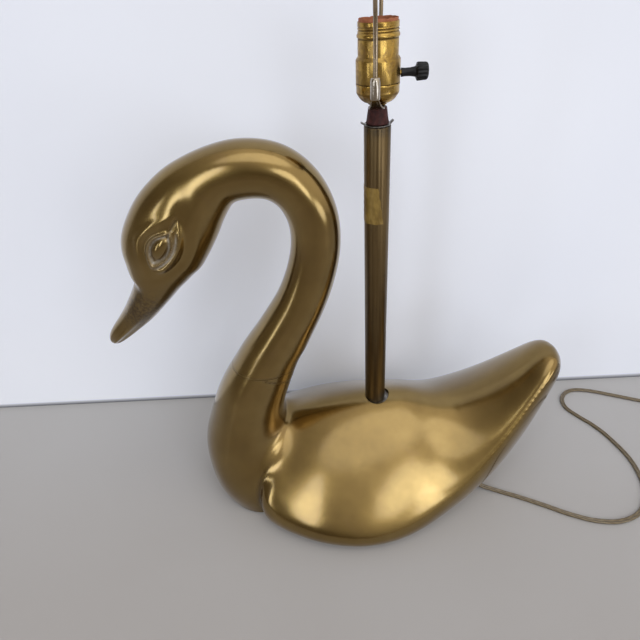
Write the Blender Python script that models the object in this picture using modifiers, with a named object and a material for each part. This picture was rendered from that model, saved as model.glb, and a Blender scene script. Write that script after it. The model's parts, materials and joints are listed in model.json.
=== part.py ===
"""Swan table lamp: a hollow cast brass swan, a brass stem on its back, a lamp socket with a turn switch,
a harp for a shade and a flat cord with a plug.

Metres, +Z up. The swan faces -X and its plane of symmetry is Y = 0. Every piece hangs from one empty on
the stem's axis at table height. The empty is shifted along X so that the world origin lies under the
middle of the lamp.
"""

import math

import bmesh
import bpy
import numpy as np
from mathutils import Matrix, Vector

# ---------------------------------------------------------------- driving dimensions, in metres
GAP = 0.0003                # between pieces that touch
RUNNING = 0.00008           # between a turning or sliding piece and its bore
WALL = 0.003                # cast brass wall

FELT_THICKNESS = 0.002      # pad under the whole lamp
FELT_INSET = 0.0018         # pad edge to the casting's outside
PLATE_THICKNESS = 0.0015    # steel plate that closes the base
PLATE_CLEARANCE = 0.0006    # plate edge to casting

SEAM_U = 20.25              # neck seam, as a station number of NECK
LEVEL_FROM = 18.2           # the neck's sections turn level between these two stations, so its seam is level
LEVEL_AT = 20.0
SPIGOT_LENGTH = 0.5         # how far the neck's spigot goes into the body, in stations
SPIGOT_WALL = 0.0025
OVERRUN = 0.004             # how far a hollow's cutter passes the casting's end
HEAD_HOLLOW_U = 6.0         # where the hollow of the neck ends, inside the head

STEM_OUTER_R = 0.0111       # 7/8 inch tube
STEM_WALL = 0.001
STEM_LENGTH = 0.3005
SEAT_Z = 0.112              # floor of the round seat in the back
SEAT_R = 0.0137
SEAT_SHIFT = 0.0022         # the seat was bored off the stem's axis
BOSS_R = 0.019              # thick boss under the back, for the seat and the nut
BOSS_DEPTH = 0.006

PIPE_OUTER_R = 0.00485      # 1/8 IP lamp pipe
PIPE_BORE_R = 0.00325
PIPE_HOLE_R = 0.0052

SEAT_WASHER_R = 0.0131
SEAT_WASHER_THICKNESS = 0.0015
TAB_WASHER_THICKNESS = 0.0007
TAB_LENGTH = 0.0038
BUSHING_HEIGHT = 0.0128
BUSHING_BOTTOM_R = 0.0092
BUSHING_TOP_R = 0.0075
NUT_FLATS = 0.0143
NUT_HEIGHT = 0.004
NUT_WASHER_R = 0.014
NUT_WASHER_THICKNESS = 0.0015

SADDLE_THICKNESS = 0.0016
SADDLE_WIDTH = 0.0124
HARP_HALF_SPACING = 0.030   # harp leg to stem axis
HARP_RISE = 0.0108          # saddle plate to the feet of the ferrules
HARP_TURN = math.radians(-9.5)
HARP_WIRE_R = 0.0016
HARP_POST = 0.0065          # saddle post inside the ferrule
HARP_HEIGHT = 0.2225        # feet of the legs to the top of the harp
HARP_HALF_WIDTH = 0.059
FERRULE_R = 0.0037
FERRULE_LENGTH = 0.015
CROWN_HEIGHT = 0.005

SOCKET_R = 0.01715          # cap and lower shell
SHELL_NECK_R = 0.01545      # narrower upper shell
SHEET = 0.0005              # brass sheet of the socket
CAP_HEIGHT = 0.0152
SHELL_HEIGHT = 0.0414       # visible shell above the cap
LINER_STANDS_PROUD = 0.0023
LINER_THICKNESS = 0.0005
INTERIOR_HEIGHT = 0.016
SCREW_SHELL_R = 0.01385
SCREW_SHELL_HEIGHT = 0.0207
SWITCH_ABOVE_JOINT = 0.0061  # switch axis above the joint between cap and shell
SWITCH_SHAFT_R = 0.0019
KNOB_STEM_R = 0.0031
KNOB_STEM_LENGTH = 0.0117
KNOB_HEAD_R = 0.0067
KNOB_HEAD_LENGTH = 0.0088
KNOB_FLUTES = 16

CORD_WIDTH = 0.0056         # flat twin lamp cord
CORD_THICKNESS = 0.0028
CORD_TURNS_ACROSS = 3
CORD_LAYERS = 2
CORD_CLEARANCE = 0.0003
COIL_MEAN_R = 0.0335
COIL_CENTRE = (0.410, 0.030)
COIL_IN = math.radians(105)     # where on the coil the cord arrives
COIL_OUT = math.radians(-60)    # and where it leaves for the plug
COIL_ANGLE = math.radians(35)   # between the cord and the coil's rim
EXIT_Z = 0.0062             # height of the cord's bush
EXIT_START = (0.090, -0.0395)
EXIT_TURN = math.radians(-15)
BUSH_R = 0.0042
BUSH_TIP_R = 0.0036
BUSH_LENGTH = 0.026

# Stations of the body, from breast to tail: x, z, tilt of the section in degrees, half width, height above
# and depth below the widest line, then how full the crest, the flank, the bilge and the keel are.
BODY = [
    (-0.143, 0.028, 0, 0.010, 0.006, 0.010, 0.55, 0.55, 0.55, 0.55),
    (-0.140, 0.028, 0, 0.060, 0.034, 0.032, 0.50, 0.50, 0.60, 0.70),
    (-0.128, 0.024, 0, 0.089, 0.056, 0.030, 0.40, 0.30, 0.70, 0.80),
    (-0.100, 0.021, 0, 0.107, 0.074, 0.028, 0.30, 0.20, 0.70, 0.85),
    (-0.060, 0.020, 0, 0.121, 0.088, 0.027, 0.26, 0.13, 0.70, 0.90),
    (-0.015, 0.020, 0, 0.125, 0.096, 0.027, 0.24, 0.11, 0.70, 0.90),
    (0.030, 0.025, 0, 0.115, 0.093, 0.032, 0.26, 0.13, 0.70, 0.90),
    (0.074, 0.043, 12, 0.094, 0.0695, 0.048, 0.26, 0.17, 0.50, 0.85),
    (0.108, 0.070, 30, 0.077, 0.0450, 0.056, 0.27, 0.25, 0.30, 0.78),
    (0.139, 0.104, 45, 0.058, 0.0280, 0.048, 0.28, 0.30, 0.18, 0.72),
    (0.165, 0.137, 51, 0.041, 0.0180, 0.034, 0.32, 0.34, 0.18, 0.70),
    (0.182, 0.1590, 53, 0.029, 0.0140, 0.024, 0.38, 0.38, 0.22, 0.68),
    (0.190, 0.1695, 53, 0.017, 0.008, 0.013, 0.45, 0.45, 0.35, 0.60),
    (0.193, 0.1728, 53, 0.001, 0.001, 0.001, 0.55, 0.55, 0.55, 0.55),
]
BODY_RINGS = 2              # rings between two stations
BODY_QUARTER = 7            # faces along a quarter of a section
BODY_HOLLOW_LAST = 10.0     # the hollow ends before this station, in the tail

# Stations of bill, head, neck and breast: x, z, half height in the plane of symmetry, half width.
NECK = [
    (-0.2770, 0.2090, 0.0005, 0.0005),
    (-0.2740, 0.2130, 0.0060, 0.0060),
    (-0.2663, 0.2213, 0.0094, 0.0100),
    (-0.2513, 0.2353, 0.0121, 0.0135),
    (-0.2357, 0.2511, 0.0153, 0.0175),
    (-0.2181, 0.2734, 0.0195, 0.0220),
    (-0.2090, 0.2930, 0.0295, 0.0255),
    (-0.2010, 0.3110, 0.0378, 0.0280),
    (-0.1898, 0.3292, 0.0394, 0.0290),
    (-0.1764, 0.3471, 0.0381, 0.0285),
    (-0.1591, 0.3654, 0.0331, 0.0265),
    (-0.1367, 0.3803, 0.0263, 0.0245),
    (-0.1120, 0.3850, 0.0252, 0.0240),
    (-0.0875, 0.3807, 0.0242, 0.0235),
    (-0.0686, 0.3650, 0.0232, 0.0230),
    (-0.0576, 0.3394, 0.0230, 0.0225),
    (-0.0565, 0.3100, 0.0233, 0.0225),
    (-0.0636, 0.2787, 0.0240, 0.0235),
    (-0.0763, 0.2471, 0.0252, 0.0260),
    (-0.0951, 0.2142, 0.0278, 0.0290),
    (-0.1150, 0.1837, 0.0305, 0.0330),
    (-0.1333, 0.1480, 0.0362, 0.0390),
    (-0.1472, 0.1100, 0.0405, 0.0475),
    (-0.1535, 0.0700, 0.0490, 0.0610),
    (-0.1485, 0.0320, 0.0505, 0.0710),
    (-0.1300, -0.0060, 0.0530, 0.0705),
]
NECK_RINGS = 2              # rings between two stations
NECK_SIDES = 20

# One half of the harp, as height above the leg's foot and distance from the middle, both as shares.
HARP_HALF = [
    (0.00, 0.51), (0.085, 0.51), (0.095, 0.51), (0.19, 0.56), (0.36, 0.77), (0.52, 0.94), (0.67, 1.00),
    (0.81, 0.92), (0.92, 0.68), (0.985, 0.36), (1.00, 0.12),
]
HARP_STRAIGHT = 3           # the first of these stand over the leg's foot

# The free cord on the table: x and y, and the height of its middle above its own lying height.
ROUTE = [
    (0.1240, -0.0489, 0.0026), (0.1340, -0.0523, 0.0010), (0.1460, -0.0570, 0.0), (0.1640, -0.0650, 0.0),
    (0.1880, -0.0770, 0.0), (0.2120, -0.0895, 0.0), (0.2380, -0.0990, 0.0), (0.2660, -0.1000, 0.0),
    (0.2930, -0.0870, 0.0), (0.3110, -0.0570, 0.0), (0.3150, -0.0190, 0.0), (0.3060, 0.0180, 0.0),
    (0.2955, 0.0400, 0.0), (0.2840, 0.0560, 0.0), (0.2737, 0.0734, 0.0), (0.2745, 0.0899, 0.0),
    (0.2845, 0.1030, 0.0), (0.2993, 0.1080, 0.0), (0.3200, 0.1045, 0.0), (0.3480, 0.0935, 0.0),
    (0.3730, 0.0830, 0.0),
]
ROUTE_POINTS = 78           # points of the tube along the route

# ---------------------------------------------------------------- heights worked out from the above
RIM_Z = FELT_THICKNESS
SEAT_WASHER_Z = SEAT_Z + GAP
STEM_Z = SEAT_WASHER_Z + SEAT_WASHER_THICKNESS + GAP
STEM_TOP = STEM_Z + STEM_LENGTH
TAB_Z = STEM_TOP + GAP
BUSHING_Z = TAB_Z + TAB_WASHER_THICKNESS + GAP
SADDLE_Z = BUSHING_Z + BUSHING_HEIGHT + GAP
CAP_Z = SADDLE_Z + SADDLE_THICKNESS + GAP
JOINT_Z = CAP_Z + CAP_HEIGHT
SHELL_TOP = JOINT_Z + SHELL_HEIGHT
SWITCH_Z = JOINT_Z + SWITCH_ABOVE_JOINT
INTERIOR_Z = JOINT_Z - SHEET
INTERIOR_TOP = INTERIOR_Z + INTERIOR_HEIGHT
INTERIOR_R = SCREW_SHELL_R - SHEET
LINER_OUTER_R = SHELL_NECK_R - SHEET - GAP
LINER_INNER_R = LINER_OUTER_R - LINER_THICKNESS
LINER_FLANGE = 0.002
LINER_Z = INTERIOR_Z + LINER_FLANGE + GAP
FERRULE_Z = SADDLE_Z + HARP_RISE
LEG_Z = FERRULE_Z + HARP_POST + GAP
HARP_TOP = LEG_Z + HARP_HEIGHT
CROWN_Z = HARP_TOP - HARP_WIRE_R - 0.0005
STUD_Z = CROWN_Z + CROWN_HEIGHT + GAP
CAP_MOUTH_Z = CAP_Z + 0.0035
NUT_WASHER_Z = SEAT_Z - BOSS_DEPTH - GAP - NUT_WASHER_THICKNESS
NUT_Z = NUT_WASHER_Z - GAP - NUT_HEIGHT
PIPE_Z = NUT_Z - 0.003
PIPE_TOP = CAP_MOUTH_Z - GAP
CORD_R = CORD_WIDTH / 2
LYING_Z = CORD_R + CORD_CLEARANCE
COIL_HALF = CORD_TURNS_ACROSS * CORD_WIDTH / 2 + CORD_CLEARANCE
COIL_HEIGHT = CORD_LAYERS * CORD_THICKNESS + 2 * CORD_CLEARANCE


# ---------------------------------------------------------------- scene, materials and small helpers
def clear_scene():
    for old in list(bpy.data.objects):
        bpy.data.objects.remove(old, do_unlink=True)


def make_collection(name):
    made = bpy.data.collections.new(name)
    bpy.context.scene.collection.children.link(made)
    return made


def make_material(name, colour, metallic, roughness):
    made = bpy.data.materials.new(name)
    made.use_nodes = True
    shader = made.node_tree.nodes["Principled BSDF"]
    shader.inputs["Base Color"].default_value = (*colour, 1.0)
    shader.inputs["Metallic"].default_value = metallic
    shader.inputs["Roughness"].default_value = roughness
    return made


clear_scene()
LAMP = make_collection("swan_lamp")
CUTTERS = make_collection("swan_lamp_cutters")
FRAME = bpy.data.objects.new("lamp_frame", None)
LAMP.objects.link(FRAME)

FINISHES = {
    "cast_brass": ((0.42, 0.29, 0.11), 1.0, 0.32),
    "stem_brass": ((0.33, 0.23, 0.10), 1.0, 0.38),
    "socket_brass": ((0.62, 0.44, 0.14), 1.0, 0.28),
    "harp_metal": ((0.52, 0.43, 0.28), 1.0, 0.30),
    "steel": ((0.16, 0.15, 0.14), 1.0, 0.45),
    "bushing": ((0.10, 0.025, 0.02), 0.0, 0.50),
    "fibre": ((0.55, 0.24, 0.10), 0.0, 0.80),
    "phenolic": ((0.035, 0.03, 0.028), 0.0, 0.40),
    "felt": ((0.05, 0.09, 0.05), 0.0, 0.95),
    "cord": ((0.42, 0.30, 0.12), 0.0, 0.35),
    "rubber": ((0.03, 0.03, 0.03), 0.0, 0.60),
}


def finish_of(node, finish):
    """Each piece gets a material of its own, named for the piece."""
    colour, metallic, roughness = FINISHES[finish]
    return make_material(node, colour, metallic, roughness)


def add_object(name, mesh, finish=None, where=(0, 0, 0), turn=(0, 0, 0), parent=None):
    """A piece of the lamp, or a cutter when it has no finish."""
    made = bpy.data.objects.new(name, mesh)
    made.location = where
    made.rotation_euler = turn
    made.parent = parent or FRAME
    if finish is None:
        CUTTERS.objects.link(made)
        made.hide_render = True
        made.display_type = "WIRE"
        return made
    LAMP.objects.link(made)
    mesh.materials.append(finish_of(name, finish))
    return made


def mesh_of(name, bm):
    """The bmesh as a mesh with smooth round sides, and free the bmesh."""
    bmesh.ops.recalc_face_normals(bm, faces=bm.faces)
    mesh = bpy.data.meshes.new(name)
    bm.to_mesh(mesh)
    bm.free()
    mesh.shade_smooth()
    mesh.set_sharp_from_angle(angle=math.radians(35))
    return mesh


def ring_mesh(name, rings):
    """A closed skin over rings that all have the same number of points, with a face on each end."""
    bm = bmesh.new()
    rows = [[bm.verts.new(point) for point in ring] for ring in rings]
    count = len(rows[0])
    for lower, upper in zip(rows, rows[1:]):
        for i in range(count):
            j = (i + 1) % count
            bm.faces.new((lower[i], lower[j], upper[j], upper[i]))
    bm.faces.new(rows[0][::-1])
    bm.faces.new(rows[-1])
    return mesh_of(name, bm)


def turned(name, profile, steps, finish=None, where=(0, 0, 0), turn=(0, 0, 0), parent=None):
    """A piece turned about its Z. The profile of (radius, height) runs down the outside and back up the
    inside, or starts and ends on the axis."""
    bm = bmesh.new()
    points = [bm.verts.new((radius, 0, height)) for radius, height in profile]
    for a, b in zip(points, points[1:]):
        bm.edges.new((a, b))
    if profile[0][0] > 0:
        bm.edges.new((points[-1], points[0]))
    mesh = bpy.data.meshes.new(name)
    bm.to_mesh(mesh)
    bm.free()
    made = add_object(name, mesh, finish, where, turn, parent)
    screw = made.modifiers.new("turn", "SCREW")
    screw.axis = "Z"
    screw.steps = steps
    screw.render_steps = steps
    screw.use_merge_vertices = True
    screw.merge_threshold = 0.00001
    screw.use_smooth_shade = True
    return made


def cylinder(name, radius, bottom, top, finish=None, where=(0, 0), turn=(0, 0, 0), sides=32, parent=None):
    """A closed cylinder from bottom to top along its own Z."""
    bm = bmesh.new()
    bmesh.ops.create_cone(
        bm,
        cap_ends=True,
        segments=sides,
        radius1=radius,
        radius2=radius,
        depth=top - bottom,
        matrix=Matrix.Translation((0, 0, (top + bottom) / 2)),
    )
    place = where if len(where) == 3 else (*where, 0)
    return add_object(name, mesh_of(name, bm), finish, place, turn, parent)


def block(name, low, high, finish=None, where=(0, 0, 0), turn=(0, 0, 0), parent=None):
    """A box between two corners."""
    bm = bmesh.new()
    size = Vector(high) - Vector(low)
    middle = (Vector(high) + Vector(low)) / 2
    bmesh.ops.create_cube(bm, size=1, matrix=Matrix.Translation(middle) @ Matrix.Diagonal((*size, 1)))
    return add_object(name, mesh_of(name, bm), finish, where, turn, parent)


def cut(piece, cutter, operation="DIFFERENCE"):
    made = piece.modifiers.new(cutter.name, "BOOLEAN")
    made.operation = operation
    made.object = cutter
    made.solver = "EXACT"


def bevel(piece, width, segments=2):
    made = piece.modifiers.new("edges", "BEVEL")
    made.width = width
    made.segments = segments
    made.limit_method = "ANGLE"


def smooth_rows(rows, at):
    """Rows of numbers on a Catmull-Rom spline through the given rows, at places counted in rows."""
    rows = np.array(rows, float)
    ends = np.vstack([2 * rows[0] - rows[1], rows, 2 * rows[-1] - rows[-2]])
    out = []
    for u in at:
        i = min(int(u), len(rows) - 2)
        t = u - i
        a, b, c, d = ends[i : i + 4]
        out.append(
            (2 * b + (c - a) * t + (2 * a - 5 * b + 4 * c - d) * t**2 + (3 * b - a - 3 * c + d) * t**3) / 2
        )
    return np.array(out)


def tube(name, points, radius, finish, resolution=2, parent=None):
    """A round wire or cord along the points, with flat ends."""
    curve = bpy.data.curves.new(name, "CURVE")
    curve.dimensions = "3D"
    curve.bevel_depth = radius
    curve.bevel_resolution = resolution
    curve.use_fill_caps = True
    spline = curve.splines.new("POLY")
    spline.points.add(len(points) - 1)
    for point, place in zip(spline.points, points):
        point.co = (*place, 1)
    return add_object(name, curve, finish, parent=parent)


def evenly(points, count):
    """The same line with its points at equal distances."""
    points = np.array(points, float)
    steps = np.linalg.norm(np.diff(points, axis=0), axis=1)
    along = np.concatenate([[0], np.cumsum(steps)])
    at = np.linspace(0, along[-1], count)
    return np.stack([np.interp(at, along, points[:, k]) for k in range(3)], axis=1)


# ---------------------------------------------------------------- the casting
def bezier(a, b, c, d, count):
    t = np.linspace(0, 1, count + 1)[:, None]
    return (1 - t) ** 3 * a + 3 * (1 - t) ** 2 * t * b + 3 * (1 - t) * t**2 * c + t**3 * d


def body_ring(station, inset):
    """One section of the body, a wall's thickness smaller where inset says so, going once round."""
    x, z, tilt, width, up, down, crest, flank, bilge, keel = station
    width = max(width - inset, 0.0005)
    up = max(up - inset, 0.0005)
    down = max(down - inset, 0.0005)
    top = bezier(
        np.array([0, up]), np.array([crest * width, up]), np.array([width, flank * up]), np.array([width, 0]),
        BODY_QUARTER,
    )
    bottom = bezier(
        np.array([width, 0]), np.array([width, -bilge * down]), np.array([keel * width, -down]),
        np.array([0, -down]), BODY_QUARTER,
    )
    half = np.vstack([top, bottom[1:]])
    other = half[-2:0:-1] * (-1, 1)
    ring = np.vstack([half, other])
    lean = math.radians(tilt)
    return np.stack(
        [x - math.sin(lean) * ring[:, 1], ring[:, 0], z + math.cos(lean) * ring[:, 1]], axis=1
    )


def body_rings(inset=0.0):
    last = BODY_HOLLOW_LAST if inset else len(BODY) - 1
    first = 1.0 if inset else 0.0
    at = np.arange(first, last + 0.01, 1 / BODY_RINGS)
    rings = [body_ring(station, inset) for station in smooth_rows(BODY, at)]
    if inset:
        rings = [ring + (inset if i == 0 else 0, 0, 0) for i, ring in enumerate(rings)]
    return rings


def neck_ring(u, inset=0.0):
    """One section of neck, head or breast: square to the line of the neck, but level from the seam on."""
    x, z, height, width = smooth_rows(NECK, [u])[0]
    step = 0.05
    ahead = smooth_rows(NECK, [min(u + step, len(NECK) - 1)])[0]
    behind = smooth_rows(NECK, [max(u - step, 0)])[0]
    along = (ahead - behind)[:2]
    along = along / np.linalg.norm(along)
    share = min(max((u - LEVEL_FROM) / (LEVEL_AT - LEVEL_FROM), 0), 1)
    level = share**2 * (3 - 2 * share)
    facing = along * (1 - level) + np.array([0, -1]) * level
    facing = facing / np.linalg.norm(facing)
    angle = np.linspace(0, 2 * math.pi, NECK_SIDES, endpoint=False)
    across = max(height / (along @ facing) - inset, 0.0003) * np.cos(angle)
    out = max(width - inset, 0.0003) * np.sin(angle)
    return np.stack([x - facing[1] * across, out, z + facing[0] * across], axis=1)


def stations(first, last):
    """Ring places between two station numbers, with a ring at each end."""
    between = np.arange(math.floor(first * NECK_RINGS) + 1, math.ceil(last * NECK_RINGS)) / NECK_RINGS
    return [first, *between, last]


def swan_body():
    """The body with the breast up to the neck seam, hollow and open underneath."""
    body = add_object("swan_body_shell", ring_mesh("swan_body_shell", body_rings()), "cast_brass")
    seam = neck_ring(SEAM_U)
    breast = [seam] + [neck_ring(u) for u in stations(SEAM_U, len(NECK) - 1)[1:]]
    breast = add_object("breast", ring_mesh("breast", breast))
    hollow = add_object("body_hollow", ring_mesh("body_hollow", body_rings(WALL)))
    boss = cylinder("boss", BOSS_R, SEAT_Z - BOSS_DEPTH, SEAT_Z + 0.02, where=(SEAT_SHIFT, 0))
    cut(hollow, boss)
    places = [SEAM_U - 0.5, *spigot_places(), *stations(SEAM_U + SPIGOT_LENGTH, len(NECK) - 1)[1:]]
    neck_hollow = [neck_ring(u, WALL) for u in places]
    neck_hollow[-1] = neck_hollow[-1] - (0, 0, OVERRUN)
    neck_hollow = add_object("breast_hollow", ring_mesh("breast_hollow", neck_hollow))
    below = block("below_rim", (-0.4, -0.3, -0.2), (0.4, 0.3, RIM_Z))
    seat = cylinder("stem_seat", SEAT_R, SEAT_Z, SEAT_Z + 0.05, where=(SEAT_SHIFT, 0))
    bore = cylinder("pipe_bore", PIPE_HOLE_R, SEAT_Z - 0.05, SEAT_Z + 0.05)
    cut(body, breast, "UNION")
    for cutter in (below, hollow, neck_hollow, seat, bore, cord_notch(CORD_CLEARANCE)):
        cut(body, cutter)
    return body


def spigot_places():
    return stations(SEAM_U, SEAM_U + SPIGOT_LENGTH)


def swan_neck():
    """Bill, head and neck as one hollow casting, with a spigot that goes into the body."""
    place = SEAM_U - 0.01
    outer = [neck_ring(u) for u in stations(0, place)]
    spigot_end = SEAM_U + SPIGOT_LENGTH
    spigot_inset = WALL + GAP
    spigot = [neck_ring(u, spigot_inset) for u in (place, *spigot_places()[1:])]
    bore_inset = spigot_inset + SPIGOT_WALL
    bore = [neck_ring(u, bore_inset) for u in (spigot_end, place - 0.3)]
    hollow = [neck_ring(u, WALL) for u in stations(HEAD_HOLLOW_U, place - 0.3)[::-1]]
    rings = outer + spigot + bore + hollow
    return add_object("neck_head_shell", ring_mesh("neck_head_shell", rings), "cast_brass")


def slab_of_hollow(name, inset, low, high, finish):
    """A flat plate that follows the inside of the casting."""
    plate = add_object(name, ring_mesh(name, body_rings(inset)), finish)
    front = [neck_ring(u, inset) for u in stations(SEAM_U + 2, len(NECK) - 1)]
    front = add_object(name + "_front", ring_mesh(name + "_front", front))
    cut(plate, front, "UNION")
    cut(plate, block(name + "_above", (-0.4, -0.3, high), (0.4, 0.3, 0.4)))
    cut(plate, block(name + "_below", (-0.4, -0.3, -0.2), (0.4, 0.3, low)))
    return plate


def base_pieces():
    plate_z = RIM_Z + GAP
    inset = WALL + PLATE_CLEARANCE
    plate = slab_of_hollow("base_plate", inset, plate_z, plate_z + PLATE_THICKNESS, "steel")
    cut(plate, cord_notch(PLATE_CLEARANCE, "plate_notch"))
    slab_of_hollow("felt_pad", FELT_INSET, 0, FELT_THICKNESS - GAP, "felt")


# ---------------------------------------------------------------- stem
def stem_pieces():
    turned(
        "stem_seat_washer",
        ring_profile(SEAT_WASHER_R, PIPE_HOLE_R + SEAT_SHIFT, SEAT_WASHER_Z, SEAT_WASHER_THICKNESS),
        32, "steel", (SEAT_SHIFT, 0, 0),
    )
    turned(
        "stem_tube",
        ring_profile(STEM_OUTER_R, STEM_OUTER_R - STEM_WALL, STEM_Z, STEM_LENGTH),
        40, "stem_brass",
    )
    turned("threaded_pipe", ring_profile(PIPE_OUTER_R, PIPE_BORE_R, PIPE_Z, PIPE_TOP - PIPE_Z), 20, "steel")
    turned(
        "stem_nut_washer",
        ring_profile(NUT_WASHER_R, PIPE_HOLE_R, NUT_WASHER_Z, NUT_WASHER_THICKNESS),
        24, "steel",
    )
    nut = cylinder("stem_nut", NUT_FLATS / math.sqrt(3), NUT_Z, NUT_Z + NUT_HEIGHT, "steel", sides=6)
    cut(nut, cylinder("nut_bore", PIPE_HOLE_R, NUT_Z - 0.01, NUT_Z + 0.02, sides=24))
    turned(
        "insulating_bushing",
        [
            (BUSHING_TOP_R, BUSHING_Z + BUSHING_HEIGHT), (BUSHING_BOTTOM_R - 0.0002, BUSHING_Z + 0.002),
            (BUSHING_BOTTOM_R, BUSHING_Z), (PIPE_HOLE_R, BUSHING_Z), (PIPE_HOLE_R, BUSHING_Z + BUSHING_HEIGHT),
        ],
        32, "bushing",
    )
    tab_washer()


def ring_profile(outer, inner, bottom, height):
    return [(outer, bottom + height), (outer, bottom), (inner, bottom), (inner, bottom + height)]


def tab_washer():
    """Thin steel washer on the stem's end with two bent ears."""
    washer = turned(
        "tab_washer", ring_profile(STEM_OUTER_R, PIPE_HOLE_R, TAB_Z, TAB_WASHER_THICKNESS), 32, "steel"
    )
    for name, heading, rise in (("left_ear", math.pi, 0.5), ("right_ear", 0.0, 0.75)):
        ear = block(
            name, (-0.0004, -0.0035, 0), (TAB_LENGTH, 0.0035, TAB_WASHER_THICKNESS), turn=(0, -rise, heading),
            where=(STEM_OUTER_R * 0.92 * math.cos(heading), 0, TAB_Z + GAP),
        )
        cut(washer, ear, "UNION")


# ---------------------------------------------------------------- harp
def harp_frame():
    made = bpy.data.objects.new("harp_frame", None)
    made.parent = FRAME
    made.rotation_euler = (0, 0, HARP_TURN)
    LAMP.objects.link(made)
    return made


def saddle(parent):
    """A bent strip under the socket, narrow where it turns up into the harp's posts."""
    half = HARP_HALF_SPACING
    plate = SADDLE_Z + SADDLE_THICKNESS / 2
    foot = FERRULE_Z - 0.0004
    thick = SADDLE_THICKNESS / 2
    post = HARP_WIRE_R * 0.95
    rows = [
        (0, plate, 0, SADDLE_WIDTH / 2, thick), (half * 0.42, plate, 0, SADDLE_WIDTH / 2, thick),
        (half * 0.62, plate + HARP_RISE * 0.16, 24, SADDLE_WIDTH * 0.44, thick),
        (half * 0.85, plate + HARP_RISE * 0.48, 40, SADDLE_WIDTH * 0.32, thick),
        (half * 0.985, foot - 0.0024, 68, SADDLE_WIDTH * 0.24, thick),
        (half, foot, 90, SADDLE_WIDTH * 0.22, thick), (half, foot + 0.00001, 90, post * 0.75, post * 0.75),
        (half, FERRULE_Z + HARP_POST, 90, post * 0.75, post * 0.75),
    ]
    left = [(-v, z, -slope, wide, thin) for v, z, slope, wide, thin in rows[:0:-1]]
    rings = []
    for v, z, slope, wide, thin in left + rows:
        lean = math.radians(slope)
        up = Vector((0, -math.sin(lean), math.cos(lean)))
        middle = Vector((0, v, z))
        side = Vector((wide, 0, 0))
        corners = (side + up * thin, -side + up * thin, -side - up * thin, side - up * thin)
        rings.append([middle + corner for corner in corners])
    strip = add_object("harp_saddle", ring_mesh("harp_saddle", rings), "harp_metal", parent=parent)
    cut(strip, cylinder("saddle_bore", PIPE_HOLE_R, SADDLE_Z - 0.01, SADDLE_Z + 0.01, sides=24))


def harp_line():
    """The harp's centre line from one foot over the top to the other."""
    half = [
        (0, share * HARP_HALF_WIDTH, LEG_Z + rise * HARP_HEIGHT) for rise, share in HARP_HALF
    ]
    for i in range(HARP_STRAIGHT):
        half[i] = (0, HARP_HALF_SPACING, half[i][2])
    other = [(x, -y, z) for x, y, z in half[::-1]]
    rows = half + other
    return evenly(smooth_rows(rows, np.linspace(0, len(rows) - 1, 200)), 64)


def ferrule(name, side, parent):
    top = FERRULE_Z + FERRULE_LENGTH
    bore = HARP_WIRE_R + RUNNING
    profile = [
        (bore, top), (FERRULE_R * 0.70, top), (FERRULE_R * 0.90, top - 0.0008), (FERRULE_R, top - 0.0026),
        (FERRULE_R, FERRULE_Z + 0.0006), (FERRULE_R * 0.92, FERRULE_Z), (bore, FERRULE_Z),
    ]
    turned(name, profile, 20, "harp_metal", (0, side * HARP_HALF_SPACING, 0), parent=parent)


def harp_pieces():
    parent = harp_frame()
    saddle(parent)
    tube("harp_wire", harp_line(), HARP_WIRE_R, "harp_metal", parent=parent)
    ferrule("harp_ferrule_near", -1, parent)
    ferrule("harp_ferrule_far", 1, parent)
    crown = block(
        "harp_crown", (-0.0045, -0.008, CROWN_Z), (0.0045, 0.008, CROWN_Z + CROWN_HEIGHT), "harp_metal",
        parent=parent,
    )
    groove = HARP_WIRE_R + GAP
    slot = block("crown_slot", (-groove, -0.02, CROWN_Z - 0.001), (groove, 0.02, HARP_TOP + groove), parent=parent)
    cut(crown, slot)
    stud_foot = STUD_Z
    turned(
        "shade_stud",
        [
            (0, stud_foot + 0.013), (0.0028, stud_foot + 0.013), (0.0031, stud_foot + 0.0125),
            (0.0031, stud_foot + 0.003), (0.0062, stud_foot + 0.0024), (0.0062, stud_foot), (0, stud_foot),
        ],
        24, "harp_metal", parent=parent,
    )
    foot = stud_foot + 0.003 + GAP
    bore = 0.0031 + GAP
    turned(
        "finial",
        [
            (0, foot + 0.024), (0.0030, foot + 0.0234), (0.0058, foot + 0.0205), (0.0066, foot + 0.0170),
            (0.0056, foot + 0.0134), (0.0034, foot + 0.0112), (0.0034, foot + 0.0098), (0.0060, foot + 0.0070),
            (0.0074, foot + 0.0036), (0.0074, foot + 0.0010), (0.0068, foot), (bore, foot),
            (bore, foot + 0.0105), (0, foot + 0.0105),
        ],
        24, "socket_brass", parent=parent,
    )


# ---------------------------------------------------------------- socket
def socket_cap():
    rim = SOCKET_R - 0.00035
    bend = CAP_Z + 0.0078
    outer = [
        (SOCKET_R, JOINT_Z), (SOCKET_R, JOINT_Z - 0.0012), (rim, JOINT_Z - 0.0018), (rim, bend + 0.0012),
        (rim * 0.985, bend), (rim * 0.90, bend - 0.0026), (rim * 0.74, bend - 0.0052),
        (rim * 0.52, bend - 0.0068), (rim * 0.44, CAP_Z),
    ]
    inner = [
        (PIPE_HOLE_R, CAP_Z), (PIPE_HOLE_R, CAP_MOUTH_Z), (rim * 0.44, CAP_MOUTH_Z),
        (rim * 0.72, bend - 0.0042), (rim * 0.87, bend - 0.0018), (rim * 0.95, bend + 0.0008),
        (rim - SHEET, bend + 0.0022), (rim - SHEET, JOINT_Z),
    ]
    turned("socket_cap", outer + inner, 32, "socket_brass")


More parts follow.
